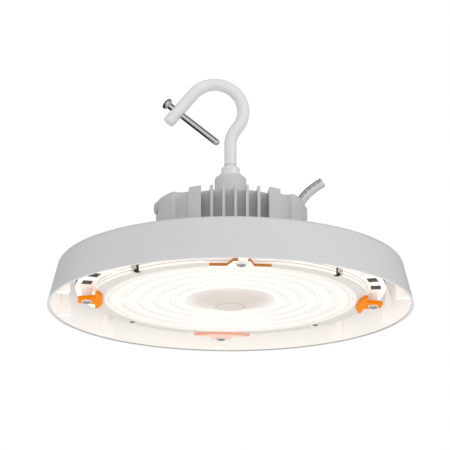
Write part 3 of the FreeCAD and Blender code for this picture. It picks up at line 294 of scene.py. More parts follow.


# %% [markdown]
# ## Shade
# The shade is one moulding of light grey satin. Its inside is painted a lighter, warmer
# white: painted light from the lit lens on the same plastic. Which side a face is on follows
# from its normal: faces that look away from the upright axis or up are outside, and the
# others are inside. The narrow rim that it stands on keeps the grey, and a fine dark line on
# the inner wall just above it is painted shade. The lit lens makes the whole bowl glow a
# little, which a weak warm emission stands for.

# %% Shade plastic, grey outside, painted light inside
BOWL_GLOW = linear("#FFFBF6")
RIM_FACE = 0.4
SHADED_EDGE_HEIGHT = 0.9


def shade_plastic(name, outside, inside, rim_edge_shade, glow=0.28):
    """Satin moulding; outside is its light and dark grey, the next colour is painted light in the
    bowl, the last painted shade at its inner edge.
    """
    material, tree, at = start(name)
    height = add(tree, "ShaderNodeSeparateXYZ", at["Object"]).outputs["Z"]
    upward = add(tree, "ShaderNodeSeparateXYZ", at["Normal"]).outputs["Z"]
    flat = add(tree, "ShaderNodeVectorMath", at["Object"], (1, 1, 0), operation="MULTIPLY")
    away = add(tree, "ShaderNodeVectorMath", flat, operation="NORMALIZE")
    outward = add(tree, "ShaderNodeVectorMath", away, at["Normal"], operation="DOT_PRODUCT")
    facing = add(tree, "ShaderNodeMath", outward, upward, operation="MAXIMUM")
    rim = add(tree, "ShaderNodeMath", height, RIM_FACE * MM, operation="LESS_THAN")
    grey_faces = add(tree, "ShaderNodeMath", facing, rim, operation="MAXIMUM")
    grey = add(tree, "ShaderNodeMapRange", grey_faces, From_Min=0.05, From_Max=0.2)
    # Faces in the bowl take the lighter, warmer colour: painted light from the lens.
    lit_inside_grey_outside = add(
        tree,
        "ShaderNodeMix",
        data_type="RGBA",
        Factor=grey,
        A=linear(inside),
        B=mottle(tree, cloud(tree, at, 60), *outside),
    )
    # A fine dark line on the inner wall just above the rim: painted shade.
    edge = where_all(
        tree,
        add(tree, "ShaderNodeMath", height, SHADED_EDGE_HEIGHT * MM, operation="LESS_THAN"),
        add(tree, "ShaderNodeMath", facing, 0.5, operation="LESS_THAN"),
        add(tree, "ShaderNodeMath", upward, -0.5, operation="GREATER_THAN"),
    )
    return close(
        material,
        tree,
        Base_Color=add(
            tree, "ShaderNodeMix", data_type="RGBA", Factor=edge, A=lit_inside_grey_outside, B=linear(rim_edge_shade)
        ),
        Normal=grain(tree, at, 0.4, 0.012, 0.4),
        Roughness=0.42,
        Emission_Color=BOWL_GLOW,
        Emission_Strength=add(tree, "ShaderNodeMath", grey, -glow, glow, operation="MULTIPLY_ADD"),
    )


# The third colour is the bowl's painted light, the last the painted shade at its inner edge.
finishes["shade_plastic"] = shade_plastic(
    "moulded_shade_plastic", ("#D6D6D7", "#D3D3D4"), "#DFDBD7", "#8E8982"
)
print("shade glows inside, grey outside")


# %% [markdown]
# ## Heat sink
# Above, where only the heat sink's fins are, its colour is a dark grey: painted shade for
# the dim space under the shade's top. Its flat underside is part of the bowl, so it carries a
# white powder coat, and the lens's light lies on it.

# %% Heat sink with painted shade above and a white coat below
def sink_finish(name, white, cast, glow=0.24):
    """White coat on the face that looks down; elsewhere a dark grey in two shades, which is painted
    shade.
    """
    material, tree, at = start(name)
    upward = add(tree, "ShaderNodeSeparateXYZ", at["Normal"]).outputs["Z"]
    coated = add(tree, "ShaderNodeMapRange", upward, From_Min=-0.4, From_Max=-0.6)
    # Faces that don't look down take a dark grey: painted shade.
    shaded_top_colour = mottle(tree, cloud(tree, at, 3, 4.0), *cast)
    return close(
        material,
        tree,
        Base_Color=add(
            tree, "ShaderNodeMix", data_type="RGBA", Factor=coated, A=shaded_top_colour, B=linear(white)
        ),
        Normal=grain(tree, at, 0.8, 0.02),
        Roughness=0.5,
        Emission_Color=BOWL_GLOW,
        Emission_Strength=add(tree, "ShaderNodeMath", coated, glow, operation="MULTIPLY"),
    )


# The two greys are painted shade above the bowl.
finishes["sink_paint"] = sink_finish("sink_cast_and_coated", "#F8F3ED", ("#8B8A82", "#7E7D76"))
print("heat sink: cast above, coated below")


# %% [markdown]
# ## Lens frame
# The white ring that holds the lens has a thin upright wall, and the lens's light comes
# through it. Two fine darker lines run round that wall, painted as the shade of grooves, and
# they don't glow.

# %% White plastic of the lens frame
GROOVES_UP = (2.8, 5.6)
GROOVE_HALF = 0.3
GROOVE_HEIGHTS = [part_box("lens_frame")[0].z / MM + up for up in GROOVES_UP]


def frame_plastic(name, light, dark, groove_shade, glow=0.3):
    """White moulding that glows on its upright faces, apart from two lines of painted shade."""
    material, tree, at = start(name)
    height = add(tree, "ShaderNodeSeparateXYZ", at["Object"]).outputs["Z"]
    upward = add(tree, "ShaderNodeSeparateXYZ", at["Normal"]).outputs["Z"]
    slope = add(tree, "ShaderNodeMath", upward, operation="ABSOLUTE")
    upright = add(tree, "ShaderNodeMath", slope, 0.5, operation="LESS_THAN")
    # Two thin bands of the upright wall: painted shade of grooves.
    grooves = [
        add(tree, "ShaderNodeMath", height, z * MM, GROOVE_HALF * MM, operation="COMPARE")
        for z in GROOVE_HEIGHTS
    ]
    either = add(tree, "ShaderNodeMath", *grooves, operation="MAXIMUM")
    groove_shade_mask = where_all(tree, either, upright)
    lit = add(tree, "ShaderNodeMath", upright, groove_shade_mask, operation="SUBTRACT")
    white = mottle(tree, cloud(tree, at, 30), light, dark)
    return close(
        material,
        tree,
        Base_Color=add(
            tree, "ShaderNodeMix", data_type="RGBA", Factor=groove_shade_mask, A=white, B=linear(groove_shade)
        ),
        Normal=grain(tree, at, 0.35, 0.012),
        Roughness=0.4,
        Emission_Color=linear("#FFFFFF"),
        Emission_Strength=add(tree, "ShaderNodeMath", lit, glow, operation="MULTIPLY"),
    )


# The last colour is the painted shade of the grooves.
finishes["white_plastic"] = frame_plastic(
    "moulded_white_plastic", "#DDD8D2", "#D8D2CC", "#C2B9B5"
)
print("grooves of the lens frame at, mm:", [round(z, 1) for z in GROOVE_HEIGHTS])


# %% [markdown]
# ## Metals
# A metal's colour is its reflection, so its base colour is pale and its roughness does the
# work. Zinc plating is blotchy, a turned or rolled surface is more even, and the bright
# keeper screw is nearly a mirror. The small zinc heads are a little less metallic, so that
# they don't go black where the studio is dark.

# %% Plated and bare metals
def bare_metal(name, light, dark, smooth, rough, blotch_mm, grain_high=0.006, metallic=1.0):
    """Metal whose shine drifts between smooth and rough in blotches."""
    material, tree, at = start(name)
    blotches = cloud(tree, at, blotch_mm, 4.0)
    return close(
        material,
        tree,
        Base_Color=mottle(tree, blotches, light, dark),
        Roughness=add(tree, "ShaderNodeMapRange", blotches, To_Min=smooth, To_Max=rough),
        Normal=grain(tree, at, 0.25, grain_high, 0.4),
        Metallic=metallic,
    )


metals = {
    "zinc_screws": bare_metal(
        "zinc_plating", "#C9CACB", "#AEB0B2", 0.25, 0.4, blotch_mm=1.5, metallic=0.6
    ),
    "dark_screws": bare_metal(
        "dark_zinc_plating", "#6A5A4C", "#463A30", 0.3, 0.45, blotch_mm=1.2
    ),
    "keeper_plating": bare_metal(
        "bright_nickel_plating", "#D9D9DA", "#D0D0D1", 0.08, 0.14, blotch_mm=2, grain_high=0.0005
    ),
    "driver_case": bare_metal(
        "mill_finish_aluminium", "#C3C4C6", "#B5B6B8", 0.3, 0.45, blotch_mm=6
    ),
    "post_metal": bare_metal("turned_aluminium", "#C3C4C6", "#B8B9BB", 0.3, 0.4, blotch_mm=3),
}
finishes.update(metals)
print("metals made:", ", ".join(metals))

# %% [markdown]
# ## The lit parts
# The lens glows. Behind it stand rings of LEDs, so its light comes in rings: brightest over
# each ring and a little weaker between them and at the rim. The rings' places are given, and
# the lens's radius is taken from the CAD model.

# %% Sizes of the lens and the sensor cover
LENS_FACE_DEPTH = 1.5
FIRST_RING = 45
RING_STEP = 15
RING_COUNT = 5
lens_low, lens_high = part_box("lens")
LENS_RADIUS = lens_high.x
LENS_FACE = lens_low.z + LENS_FACE_DEPTH * MM
COVER_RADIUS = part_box("sensor_cover")[1].x
print("lens radius, mm:", round(LENS_RADIUS / MM, 1), "LED rings:", RING_COUNT)


# %% [markdown]
# The lens is frosted plastic, so it shows no LEDs but an even glow. A cosine of the distance
# from the axis makes the rings, and a ramp over the radius dims the rim.

# %% Glowing lens
def from_axis(tree, at):
    """Distance of a point from the light's upright axis."""
    flat = add(tree, "ShaderNodeVectorMath", at["Object"], (1, 1, 0), operation="MULTIPLY")
    return add(tree, "ShaderNodeVectorMath", flat, operation="LENGTH")


def glowing_lens(name):
    """Frosted moulding, lit from behind in rings and weaker at its rim."""
    material, tree, at = start(name)
    radius = from_axis(tree, at)
    turns = 2 * math.pi / (RING_STEP * MM)
    shift = -turns * FIRST_RING * MM
    phase = add(tree, "ShaderNodeMath", radius, turns, shift, operation="MULTIPLY_ADD")
    wave = add(tree, "ShaderNodeMath", phase, operation="COSINE")
    rings = add(tree, "ShaderNodeMath", wave, 0.5, 0.5, operation="MULTIPLY_ADD")
    between = add(
        tree, "ShaderNodeValToRGB", rings, stops=[(0.0, "#F7F4F1"), (0.25, "#FFFFFF")]
    )
    to_rim = add(
        tree,
        "ShaderNodeValToRGB",
        add(tree, "ShaderNodeMath", radius, LENS_RADIUS, operation="DIVIDE"),
        stops=[(0.3, "#FFFFFF"), (0.8, "#FFFEFC"), (0.93, "#F1EDE9"), (1.0, "#DDD7D2")],
    )
    return close(
        material,
        tree,
        Base_Color=linear("#E0DDD7"),
        Roughness=0.25,
        Emission_Color=add(
            tree,
            "ShaderNodeMix",
            data_type="RGBA",
            blend_type="MULTIPLY",
            Factor=1.0,
            A=to_rim,
            B=between,
        ),
        Emission_Strength=0.2,
    )


finishes["lens_plastic"] = glowing_lens("lit_frosted_lens")
print("lens glows in", RING_COUNT, "rings")


# %% [markdown]
# The sensor cover in the middle is a thin beige moulding that lets some of the light
# through, most of it at its edge. A dark ring of painted shade marks the edge of the flat
# window in its middle. The LEDs themselves are coated with a yellow phosphor.

# %% Sensor cover and LEDs
def lit_cover(name):
    """Beige moulding, paler towards its edge, with a dark ring of painted shade round its window.
    """
    material, tree, at = start(name)
    reach = add(
        tree, "ShaderNodeMath", from_axis(tree, at), COVER_RADIUS, operation="DIVIDE"
    )
    window = [(0.0, "#D3C9C0"), (0.3, "#D2C8BE")]
    # A dark ring round the window: painted shade.
    groove_shade = [(0.33, "#B9AEA5"), (0.37, "#D7CEC5")]
    edge = [(0.75, "#DAD1C9"), (0.93, "#E6DFDA"), (1.0, "#EEE9E5")]
    return close(
        material,
        tree,
        Base_Color=add(tree, "ShaderNodeValToRGB", reach, stops=window + groove_shade + edge),
        Normal=grain(tree, at, 0.5, 0.02),
        Roughness=0.35,
        Emission_Color=linear("#FFEBD8"),
        Emission_Strength=0.04,
    )


finishes["sensor_plastic"] = lit_cover("beige_sensor_moulding")
finishes["led_phosphor"] = moulded_plastic("led_phosphor", "#FFF0B0", "#FBE69A", 0.4, 0.2)
print("sensor cover radius, mm:", round(COVER_RADIUS / MM, 1))


# %% [markdown]
# ## Clips
# The four clips are satin orange plastic. Each one lies right beside the glowing lens, and
# its light on the thin flat underside is painted in as painted light. How much depends on the
# clip: the two at the sides stay a full orange, and those at the front and back are pale from
# below. The front clip's orange is darker all over, as painted shade, and the back clip's is
# paler and pinker all over, as painted light.

# %% Orange clips
def orange_plastic(name, light, dark, lit_underside=None):
    """Orange moulding; a colour given for its flat underside is painted light."""
    material, tree, at = start(name)
    colour = mottle(tree, cloud(tree, at, 5), light, dark)
    # The flat underside takes a pale colour: painted light.
    if lit_underside:
        upward = add(tree, "ShaderNodeSeparateXYZ", at["Normal"]).outputs["Z"]
        under = add(tree, "ShaderNodeMapRange", upward, From_Min=-0.6, From_Max=-0.9)
        colour = add(
            tree, "ShaderNodeMix", data_type="RGBA", Factor=under, A=colour, B=linear(lit_underside)
        )
    return close(
        material,
        tree,
        Base_Color=colour,
        Normal=grain(tree, at, 0.4, 0.01, 0.4),
        Roughness=0.55,
        Specular_IOR_Level=0.04,
    )


side_orange = orange_plastic("orange_clip_side", "#F58C06", "#F08402")
own_finish = {
    "clip_left": side_orange,
    "clip_right": side_orange,
    # Front clip: orange darkened as painted shade, underside paled as painted light.
    "clip_front": orange_plastic("orange_clip_front", "#C4823F", "#BA7838", "#FBF7F2"),
    # Back clip: orange paled and pinker all over as painted light, underside paler still.
    "clip_back": orange_plastic("orange_clip_back", "#F9BEA6", "#F5B89F", "#FBD2C3"),
    "clip_posts": finishes["post_paint"],
}
print("pieces with a finish of their own:", ", ".join(own_finish))


# %% [markdown]
# ## Cord jacket
# The cord's jacket is satin grey rubber. A broken line of print runs along the outside of
# its arch: dashes in place of words. On the front of that side lie a soft darker zone and a
# dark line near the edge, both painted shade. Where round the cord a point lies follows from
# its normal: 0 in front, 1 at either side.

# %% Cord jacket
DASH_PITCH = 7.5
PRINT_AT, PRINT_HALF = 0.26, 0.09
# Where round the cord the painted edge shade lies, and its half width.
CORD_EDGE_SHADE_AT, CORD_EDGE_SHADE_HALF = 0.83, 0.13


def cord_jacket(name, light, dark, shade_zone_colour, print_and_shade_colour):
    """Satin rubber with print on the front of its outer side, and painted shade there: a soft
    darker zone and a dark edge.
    """
    material, tree, at = start(name)
    nx, ny, nz = add(tree, "ShaderNodeSeparateXYZ", at["Normal"]).outputs
    square = add(tree, "ShaderNodeMath", ny, ny, operation="MULTIPLY")
    rest = add(tree, "ShaderNodeMath", 1.0, square, operation="SUBTRACT")
    side = add(tree, "ShaderNodeMath", rest, operation="SQRT")
    outer = where_all(
        tree,
        add(tree, "ShaderNodeMath", nz, nx, operation="GREATER_THAN"),
        add(tree, "ShaderNodeMath", ny, 0.0, operation="LESS_THAN"),
    )
    x, _, z = add(tree, "ShaderNodeSeparateXYZ", at["Object"]).outputs
    along = add(tree, "ShaderNodeMath", x, z, operation="ADD")
    pitches = add(tree, "ShaderNodeMath", along, DASH_PITCH * MM, operation="DIVIDE")
    step = add(tree, "ShaderNodeMath", pitches, operation="FRACT")
    dash = add(tree, "ShaderNodeMath", step, 0.8, operation="LESS_THAN")
    printed = where_all(
        tree, add(tree, "ShaderNodeMath", side, PRINT_AT, PRINT_HALF, operation="COMPARE"), dash
    )
    # A dark line near the edge of the outer side: painted shade.
    cord_edge_shade = add(tree, "ShaderNodeMath", side, CORD_EDGE_SHADE_AT, CORD_EDGE_SHADE_HALF, operation="COMPARE")
    print_and_edge_shade = add(tree, "ShaderNodeMath", printed, cord_edge_shade, operation="MAXIMUM")
    # A soft darker zone over the outer side, fading out at its very edge: painted shade.
    painted_shade_zone = where_all(
        tree,
        add(tree, "ShaderNodeMapRange", side, From_Min=0.2, From_Max=0.5, To_Max=0.7),
        add(tree, "ShaderNodeMapRange", side, From_Min=0.94, From_Max=1.0, To_Min=1.0, To_Max=0.0),
        outer,
    )
    colour = mottle(tree, cloud(tree, at, 6), light, dark)
    for mask, shade in ((painted_shade_zone, shade_zone_colour), (where_all(tree, print_and_edge_shade, outer), print_and_shade_colour)):
        colour = add(
            tree, "ShaderNodeMix", data_type="RGBA", Factor=mask, A=colour, B=linear(shade)
        )
    return close(
        material, tree, Base_Color=colour, Normal=grain(tree, at, 0.5, 0.02), Roughness=0.28
    )


# The band colour is painted shade; the line colour serves both the print and the painted edge
# shade.
finishes["cord_jacket"] = cord_jacket(
    "grey_cord_jacket", "#DCDCDD", "#D6D6D7", shade_zone_colour="#A2A2A3", print_and_shade_colour="#6C6C6E"
)
cord_curve.materials.append(finishes["cord_jacket"])
print("cord dressed, dashes every", DASH_PITCH, "mm")

# %% [markdown]
# ## Dressing the CAD pieces
# Every CAD piece gets the finish of its material slot, apart from the few with one of their
# own. Its mesh stays as it is.

# %% Give each CAD piece its finish
SLOT_OF = {entry["node"]: entry["material_slot"] for entry in frame["record"]["subparts"]}
for name, piece in nodes.items():
    piece.data.materials.clear()
    piece.data.materials.append(own_finish.get(name) or finishes[SLOT_OF[name]])
print("dressed:", len(nodes))

# %% [markdown]
# ## Growing the fine pieces
# What repeats is grown by geometry nodes. A tree is written here node by node, with its
# sizes as named inputs. It ends by making its copies real and giving them their material.

# %% Begin and end a tree of geometry nodes
SOCKET_KINDS = {int: "NodeSocketInt", float: "NodeSocketFloat", tuple: "NodeSocketVector"}


def new_tree(name, sizes):
    """Geometry tree with a mesh input and named sizes; a size may be a number or a vector."""
    tree = bpy.data.node_groups.new(name, "GeometryNodeTree")
    tree.interface.new_socket("Mesh", in_out="INPUT", socket_type="NodeSocketGeometry")
    for label, value in sizes.items():
        socket = tree.interface.new_socket(
            label, in_out="INPUT", socket_type=SOCKET_KINDS[type(value)]
        )
        socket.default_value = value
    tree.interface.new_socket("Mesh", in_out="OUTPUT", socket_type="NodeSocketGeometry")
    return tree, add(tree, "NodeGroupInput").outputs


def end_tree(tree, geometry, material):
    """Make the result real, give it its material and send it out."""
    real = add(tree, "GeometryNodeRealizeInstances", Geometry=geometry)
    dressed = add(tree, "GeometryNodeSetMaterial", Geometry=real, Material=material)
    add(tree, "NodeGroupOutput", dressed)


print("a size can be:", ", ".join(kind.__name__ for kind in SOCKET_KINDS))


# %% [markdown]
# A size is handed to the modifier by its socket's identifier, before the tree first runs.
# Then the result is kept as a plain mesh, and the modifier goes.

# %% Grow a piece
def grown(name, tree, points=((0, 0, 0),), slot=None, **sizes):
    """Run a tree on a mesh of points, given in mm, and keep the plain mesh as a piece."""
    base = bpy.data.meshes.new(name + "_points")
    base.from_pydata([[value * MM for value in point] for point in points], [], [])
    piece = bpy.data.objects.new(name, base)
    scene.collection.objects.link(piece)
    modifier = piece.modifiers.new(name, "NODES")
    modifier.node_group = tree
    for item in tree.interface.items_tree:
        label = item.name.lower().replace(" ", "_")
        if item.in_out == "INPUT" and label in sizes:
            modifier[item.identifier] = sizes[label]
    reach = bpy.context.evaluated_depsgraph_get()
    plain = bpy.data.meshes.new_from_object(piece.evaluated_get(reach))
    piece.modifiers.remove(modifier)
    piece.data = plain
    plain.name = name
    bpy.data.meshes.remove(base)
    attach(piece, "root")
    print(name, "faces:", len(plain.polygons))
    return piece


# %% [markdown]
# ## Lenslets
# The lens is one polycarbonate moulding. Over each LED it carries a small drop-shaped
# lenslet that spreads the light, so five rings of lenslets stand on the five raised rings.
# Each lenslet is a stretched bead half sunk in its ring, a little fuller at its outer end.

# %% Tree of the lenslets
lenslet_tree, size = new_tree(
    "lenslet_rings",
    {"First Ring": FIRST_RING * MM, "Ring Step": RING_STEP * MM, "Spacing": 0.0062,
     "Half Length": 0.0068, "Half Width": 0.0034, "Half Height": 0.0008, "Lens Face": LENS_FACE},
)
place = add(lenslet_tree, "GeometryNodeInputPosition")
bead = add(lenslet_tree, "GeometryNodeMeshUVSphere", Segments=14, Rings=8, Radius=1.0)
outer = add(lenslet_tree, "ShaderNodeSeparateXYZ", place).outputs["X"]
fuller = add(lenslet_tree, "ShaderNodeMath", outer, 0.25, 0.85, operation="MULTIPLY_ADD")
half_width = add(
    lenslet_tree, "ShaderNodeMath", fuller, size["Half Width"], operation="MULTIPLY"
)
halves = add(
    lenslet_tree, "ShaderNodeCombineXYZ", size["Half Length"], half_width, size["Half Height"]
)
stretched = add(lenslet_tree, "ShaderNodeVectorMath", place, halves, operation="MULTIPLY")
drop = add(lenslet_tree, "GeometryNodeSetPosition", Geometry=bead, Position=stretched)
smooth_drop = add(lenslet_tree, "GeometryNodeSetShadeSmooth", Geometry=drop)
print("lenslet tree begun, nodes:", len(lenslet_tree.nodes))

# %% [markdown]
# The number of lenslets on a ring follows from its length and their spacing. Each one is
# turned so that its long side points away from the middle.

# %% Rings of lenslets
circles = []
for ring in range(RING_COUNT):
    radius = add(
        lenslet_tree,
        "ShaderNodeMath",
        size["Ring Step"],
        ring,
        size["First Ring"],
        operation="MULTIPLY_ADD",
    )
    around = add(lenslet_tree, "ShaderNodeMath", radius, 2 * math.pi, operation="MULTIPLY")
    share = add(lenslet_tree, "ShaderNodeMath", around, size["Spacing"], operation="DIVIDE")
    count = add(lenslet_tree, "ShaderNodeMath", share, operation="ROUND")
    circles.append(add(lenslet_tree, "GeometryNodeMeshCircle", Vertices=count, Radius=radius))
seats = add(
    lenslet_tree,
    "GeometryNodeTransform",
    Geometry=add(lenslet_tree, "GeometryNodeJoinGeometry", circles),
    Translation=add(lenslet_tree, "ShaderNodeCombineXYZ", Z=size["Lens Face"]),
)
away = add(lenslet_tree, "ShaderNodeVectorMath", place, (1, 1, 0), operation="MULTIPLY")
turn = add(
    lenslet_tree, "FunctionNodeAlignRotationToVector", Vector=away, axis="X", pivot_axis="Z"
)
lenslets_placed = add(
    lenslet_tree,
    "GeometryNodeInstanceOnPoints",
    Points=seats,
    Instance=smooth_drop,
    Rotation=turn,
)
end_tree(lenslet_tree, lenslets_placed, finishes["lens_plastic"])
grown("lenslets", lenslet_tree, slot="lens_plastic")


# %% [markdown]
# ## Screws
# The screws are pan heads with a cross recess, pressed by a four-winged punch. Only their
# heads show, so the shank is a plain pin. Each head starts as a ball: its lower half is
# pressed flat and its sides are pushed out, and then the two wings are cut from its top.

# %% Pan heads
SIDE_PUSH = -0.45
CROWN = 0.75
WING_LONG, WING_WIDE, WING_DEEP = 1.1, 0.26, 1.1


def pan_head(tree, size):
    """Cross-recessed head, standing on the plane z = 0; the wings are shares of the head."""
    ball = add(tree, "GeometryNodeMeshUVSphere", Segments=28, Rings=16, Radius=1.0)
    place = add(tree, "GeometryNodeInputPosition")
    flat = add(tree, "ShaderNodeVectorMath", place, (1, 1, 0), operation="MULTIPLY")
    reach = add(tree, "ShaderNodeVectorMath", flat, operation="LENGTH")
    over_zero = add(tree, "ShaderNodeMath", reach, 0.0001, operation="MAXIMUM")
    push = add(tree, "ShaderNodeMath", over_zero, SIDE_PUSH, operation="POWER")
    spread = add(tree, "ShaderNodeMath", push, size["Head Radius"], operation="MULTIPLY")
    sides = add(tree, "ShaderNodeVectorMath", flat, Scale=spread, operation="SCALE")
    upper = add(
        tree,
        "ShaderNodeMath",
        add(tree, "ShaderNodeSeparateXYZ", place).outputs["Z"],
        0.0,
        operation="MAXIMUM",
    )
    crown = add(tree, "ShaderNodeMath", upper, CROWN, operation="POWER")
    rise = add(tree, "ShaderNodeMath", crown, size["Head Height"], operation="MULTIPLY")
    lift = add(tree, "ShaderNodeCombineXYZ", Z=rise)
    shape = add(tree, "ShaderNodeVectorMath", sides, lift, operation="ADD")
    head = add(tree, "GeometryNodeSetPosition", Geometry=ball, Position=shape)

    long, wide = [
        add(tree, "ShaderNodeMath", size["Head Radius"], share, operation="MULTIPLY")
        for share in (WING_LONG, WING_WIDE)
    ]
    deep = add(tree, "ShaderNodeMath", size["Head Height"], WING_DEEP, operation="MULTIPLY")
    top = add(tree, "ShaderNodeCombineXYZ", Z=size["Head Height"])
    wings = []
    for flat_sides in ((long, wide), (wide, long)):
        block = add(
            tree,
            "GeometryNodeMeshCube",
            Size=add(tree, "ShaderNodeCombineXYZ", *flat_sides, deep),
        )
        wings.append(add(tree, "GeometryNodeTransform", Geometry=block, Translation=top))
    return add(
        tree,
        "GeometryNodeMeshBoolean",
        operation="DIFFERENCE",
        solver="EXACT",
        Mesh_1=head,
        Mesh_2=wings,
    )


print("wings cut", round(WING_DEEP / 2, 2), "of the head's height deep")

# %% [markdown]
# A screw is a head with a pin hanging from it. The tree puts one on each point that it is
# given, tilted as the set needs: screws that go in from below have their heads down.

# %% Tree of the screws
screw_tree, size = new_tree(
    "pan_head_screws",
    {"Head Radius": 0.004, "Head Height": 0.0026, "Shank Radius": 0.002, "Length": 0.016,
     "Tilt": (0.0, 0.0, 0.0)},
)


def hanging(tree, mesh, length, share=-0.5):
    """A mesh moved down by a share of its length."""
    down = add(tree, "ShaderNodeMath", length, share, operation="MULTIPLY")
    return add(
        tree,
        "GeometryNodeTransform",
        Geometry=mesh,
        Translation=add(tree, "ShaderNodeCombineXYZ", Z=down),
    )


pin = add(
    screw_tree,
    "GeometryNodeMeshCylinder",
    Vertices=16,
    Radius=size["Shank Radius"],
    Depth=size["Length"],
)
one_screw = [pan_head(screw_tree, size), hanging(screw_tree, pin, size["Length"])]
screws_placed = add(
    screw_tree,
    "GeometryNodeInstanceOnPoints",
    Points=size["Mesh"],
    Instance=add(screw_tree, "GeometryNodeJoinGeometry", one_screw),
    Rotation=size["Tilt"],
)
end_tree(screw_tree, screws_placed, finishes["zinc_screws"])
print("screw tree nodes:", len(screw_tree.nodes))


# %% [markdown]
# The screws' places are measured on the CAD model. Each piece there holds a whole set of
# screws that stand upright and well apart, so the corners of its mesh fall into one group
# for each screw, and the middle of a group is the screw's axis.

# %% Places of a set of screws
SCREWS_APART = 10


def screw_places(name):
    """Axis of each screw of a CAD piece, as x and y in mm."""
    screws = []
    for corner in [vertex.co for vertex in nodes[name].data.vertices]:
        for screw in screws:
            if math.dist(corner.xy, screw[0].xy) < SCREWS_APART * MM:
                screw.append(corner)
                break
        else:
            screws.append([corner])
    return [
        [(min(c[axis] for c in screw) + max(c[axis] for c in screw)) / 2 / MM for axis in (0, 1)]
        for screw in screws
    ]


print("clip screws found:", len(screw_places("clip_screws")))

# %% [markdown]
# Four sets of screws show. The dark ones in the lens frame, which take accessories, have
# smaller heads and thinner shanks than the others.

# %% Four sets of screws
HEADS_UP = (0.0, 0.0, 0.0)
HEADS_DOWN = (math.pi, 0.0, 0.0)
# each set: how deep its seat lies from the set's outer end, its head's radius and height, its
# shank's radius and length, all in mm; then the way the heads point, and the slot
SCREW_SETS = {
    "clip_screws": (2.8, (4, 2.0), (2, 8.0), HEADS_DOWN, "zinc_screws"),
    "accessory_screws": (1.8, (3.2, 2.4), (0.9, 15.2), HEADS_DOWN, "dark_screws"),
    "shade_screws": (2.6, (4, 2.6), (2, 13.5), HEADS_UP, "zinc_screws"),
    "lid_screws": (2.6, (4, 2.6), (2, 15.8), HEADS_UP, "zinc_screws"),
}
for name, (depth, head, shank, tilt, slot) in SCREW_SETS.items():
    low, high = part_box(name)
    seat = low.z / MM + depth if tilt == HEADS_DOWN else high.z / MM - depth
    piece = grown(
        name + "_recessed",
        screw_tree,
        [(x, y, seat) for x, y in screw_places(name)],
        slot,
        head_radius=head[0] * MM,
        head_height=head[1] * MM,
        shank_radius=shank[0] * MM,
        length=shank[1] * MM,
        tilt=tilt,
    )
    piece.data.materials.clear()
    piece.data.materials.append(finishes[slot])
    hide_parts(name)

# %% [markdown]
# ## Keeper screw
# The keeper screw closes the hook. It is a bright plated M6 screw with a raised cross-recess
# head, a short neck and a smooth shank that is rounded off at its end. Only the stretch
# inside the hook's leg is threaded on the real one, and there it doesn't show. The shank is
# a rod in many short steps, and those near its tip are drawn in to a round end.

# %% Shank and neck of the keeper screw
TIP_INSET = 0.8
keeper_tree, size = new_tree(
    "keeper_screw",
    {"Head Radius": 0.0055, "Head Height": 0.0034, "Neck": 0.0019, "Shank Radius": 0.003,
     "Length": 0.0603, "Tilt": (0.0, 0.0, 0.0), "Steps": 60, "Round End": 0.003},
)
rod = add(
    keeper_tree,
    "GeometryNodeMeshCylinder",
    Vertices=32,
    Side_Segments=size["Steps"],
    Radius=size["Shank Radius"],
    Depth=size["Length"],
)
place = add(keeper_tree, "GeometryNodeInputPosition")
height = add(keeper_tree, "ShaderNodeSeparateXYZ", place).outputs["Z"]
from_tip = add(keeper_tree, "ShaderNodeMath", height, size["Length"], operation="ADD")
inset = add(
    keeper_tree,
    "ShaderNodeMapRange",
    from_tip,
    From_Max=size["Round End"],
    To_Min=1.0,
    To_Max=0.0,
)
square = add(keeper_tree, "ShaderNodeMath", inset, inset, operation="MULTIPLY")
kept = add(keeper_tree, "ShaderNodeMath", square, -TIP_INSET, 1.0, operation="MULTIPLY_ADD")
drawn_in = add(keeper_tree, "ShaderNodeMath", kept, operation="SQRT")
shares = add(keeper_tree, "ShaderNodeCombineXYZ", drawn_in, drawn_in, 1.0)
rounded = add(
    keeper_tree,
    "GeometryNodeSetPosition",
    Geometry=hanging(keeper_tree, rod, size["Length"]),
    Position=add(keeper_tree, "ShaderNodeVectorMath", place, shares, operation="MULTIPLY"),
)
smooth_rod = add(keeper_tree, "GeometryNodeSetShadeSmooth", Geometry=rounded)
neck = add(
    keeper_tree,
    "GeometryNodeMeshCone",
    Vertices=28,
    Radius_Top=size["Head Radius"],
    Radius_Bottom=size["Shank Radius"],
    Depth=size["Neck"],
)
print("keeper tree begun, nodes:", len(keeper_tree.nodes))

# %% [markdown]
# The head, the neck under it and the shank are joined, and the one screw is set into the
# hook's leg, leaning across the mouth of the hook.

# %% Keeper screw in the hook
KEEPER_SEAT = (-58.07, 0.0, 193.92)
KEEPER_TILT = math.radians(128.6)
keeper_parts = [
    pan_head(keeper_tree, size),
    hanging(keeper_tree, neck, size["Neck"], -1.0),
    smooth_rod,
]
keeper_placed = add(
    keeper_tree,
    "GeometryNodeInstanceOnPoints",
    Points=size["Mesh"],
    Instance=add(keeper_tree, "GeometryNodeJoinGeometry", keeper_parts),
    Rotation=size["Tilt"],
)
end_tree(keeper_tree, keeper_placed, finishes["keeper_plating"])
keeper = grown(
    "keeper_screw_recessed",
    keeper_tree,
    [KEEPER_SEAT],
    "keeper_plating",
    tilt=(0.0, KEEPER_TILT + math.pi, 0.0),
)
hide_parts("keeper_screw")

# %% [markdown]
# ## Studio
# The backdrop is white to the camera and in reflections straight behind the light. Round it
# the studio is dark, so that round bright pieces get dark edges, and in front it is bright.
# Matt pieces are lit by an even pale sky instead. The kind of ray chooses between the three.

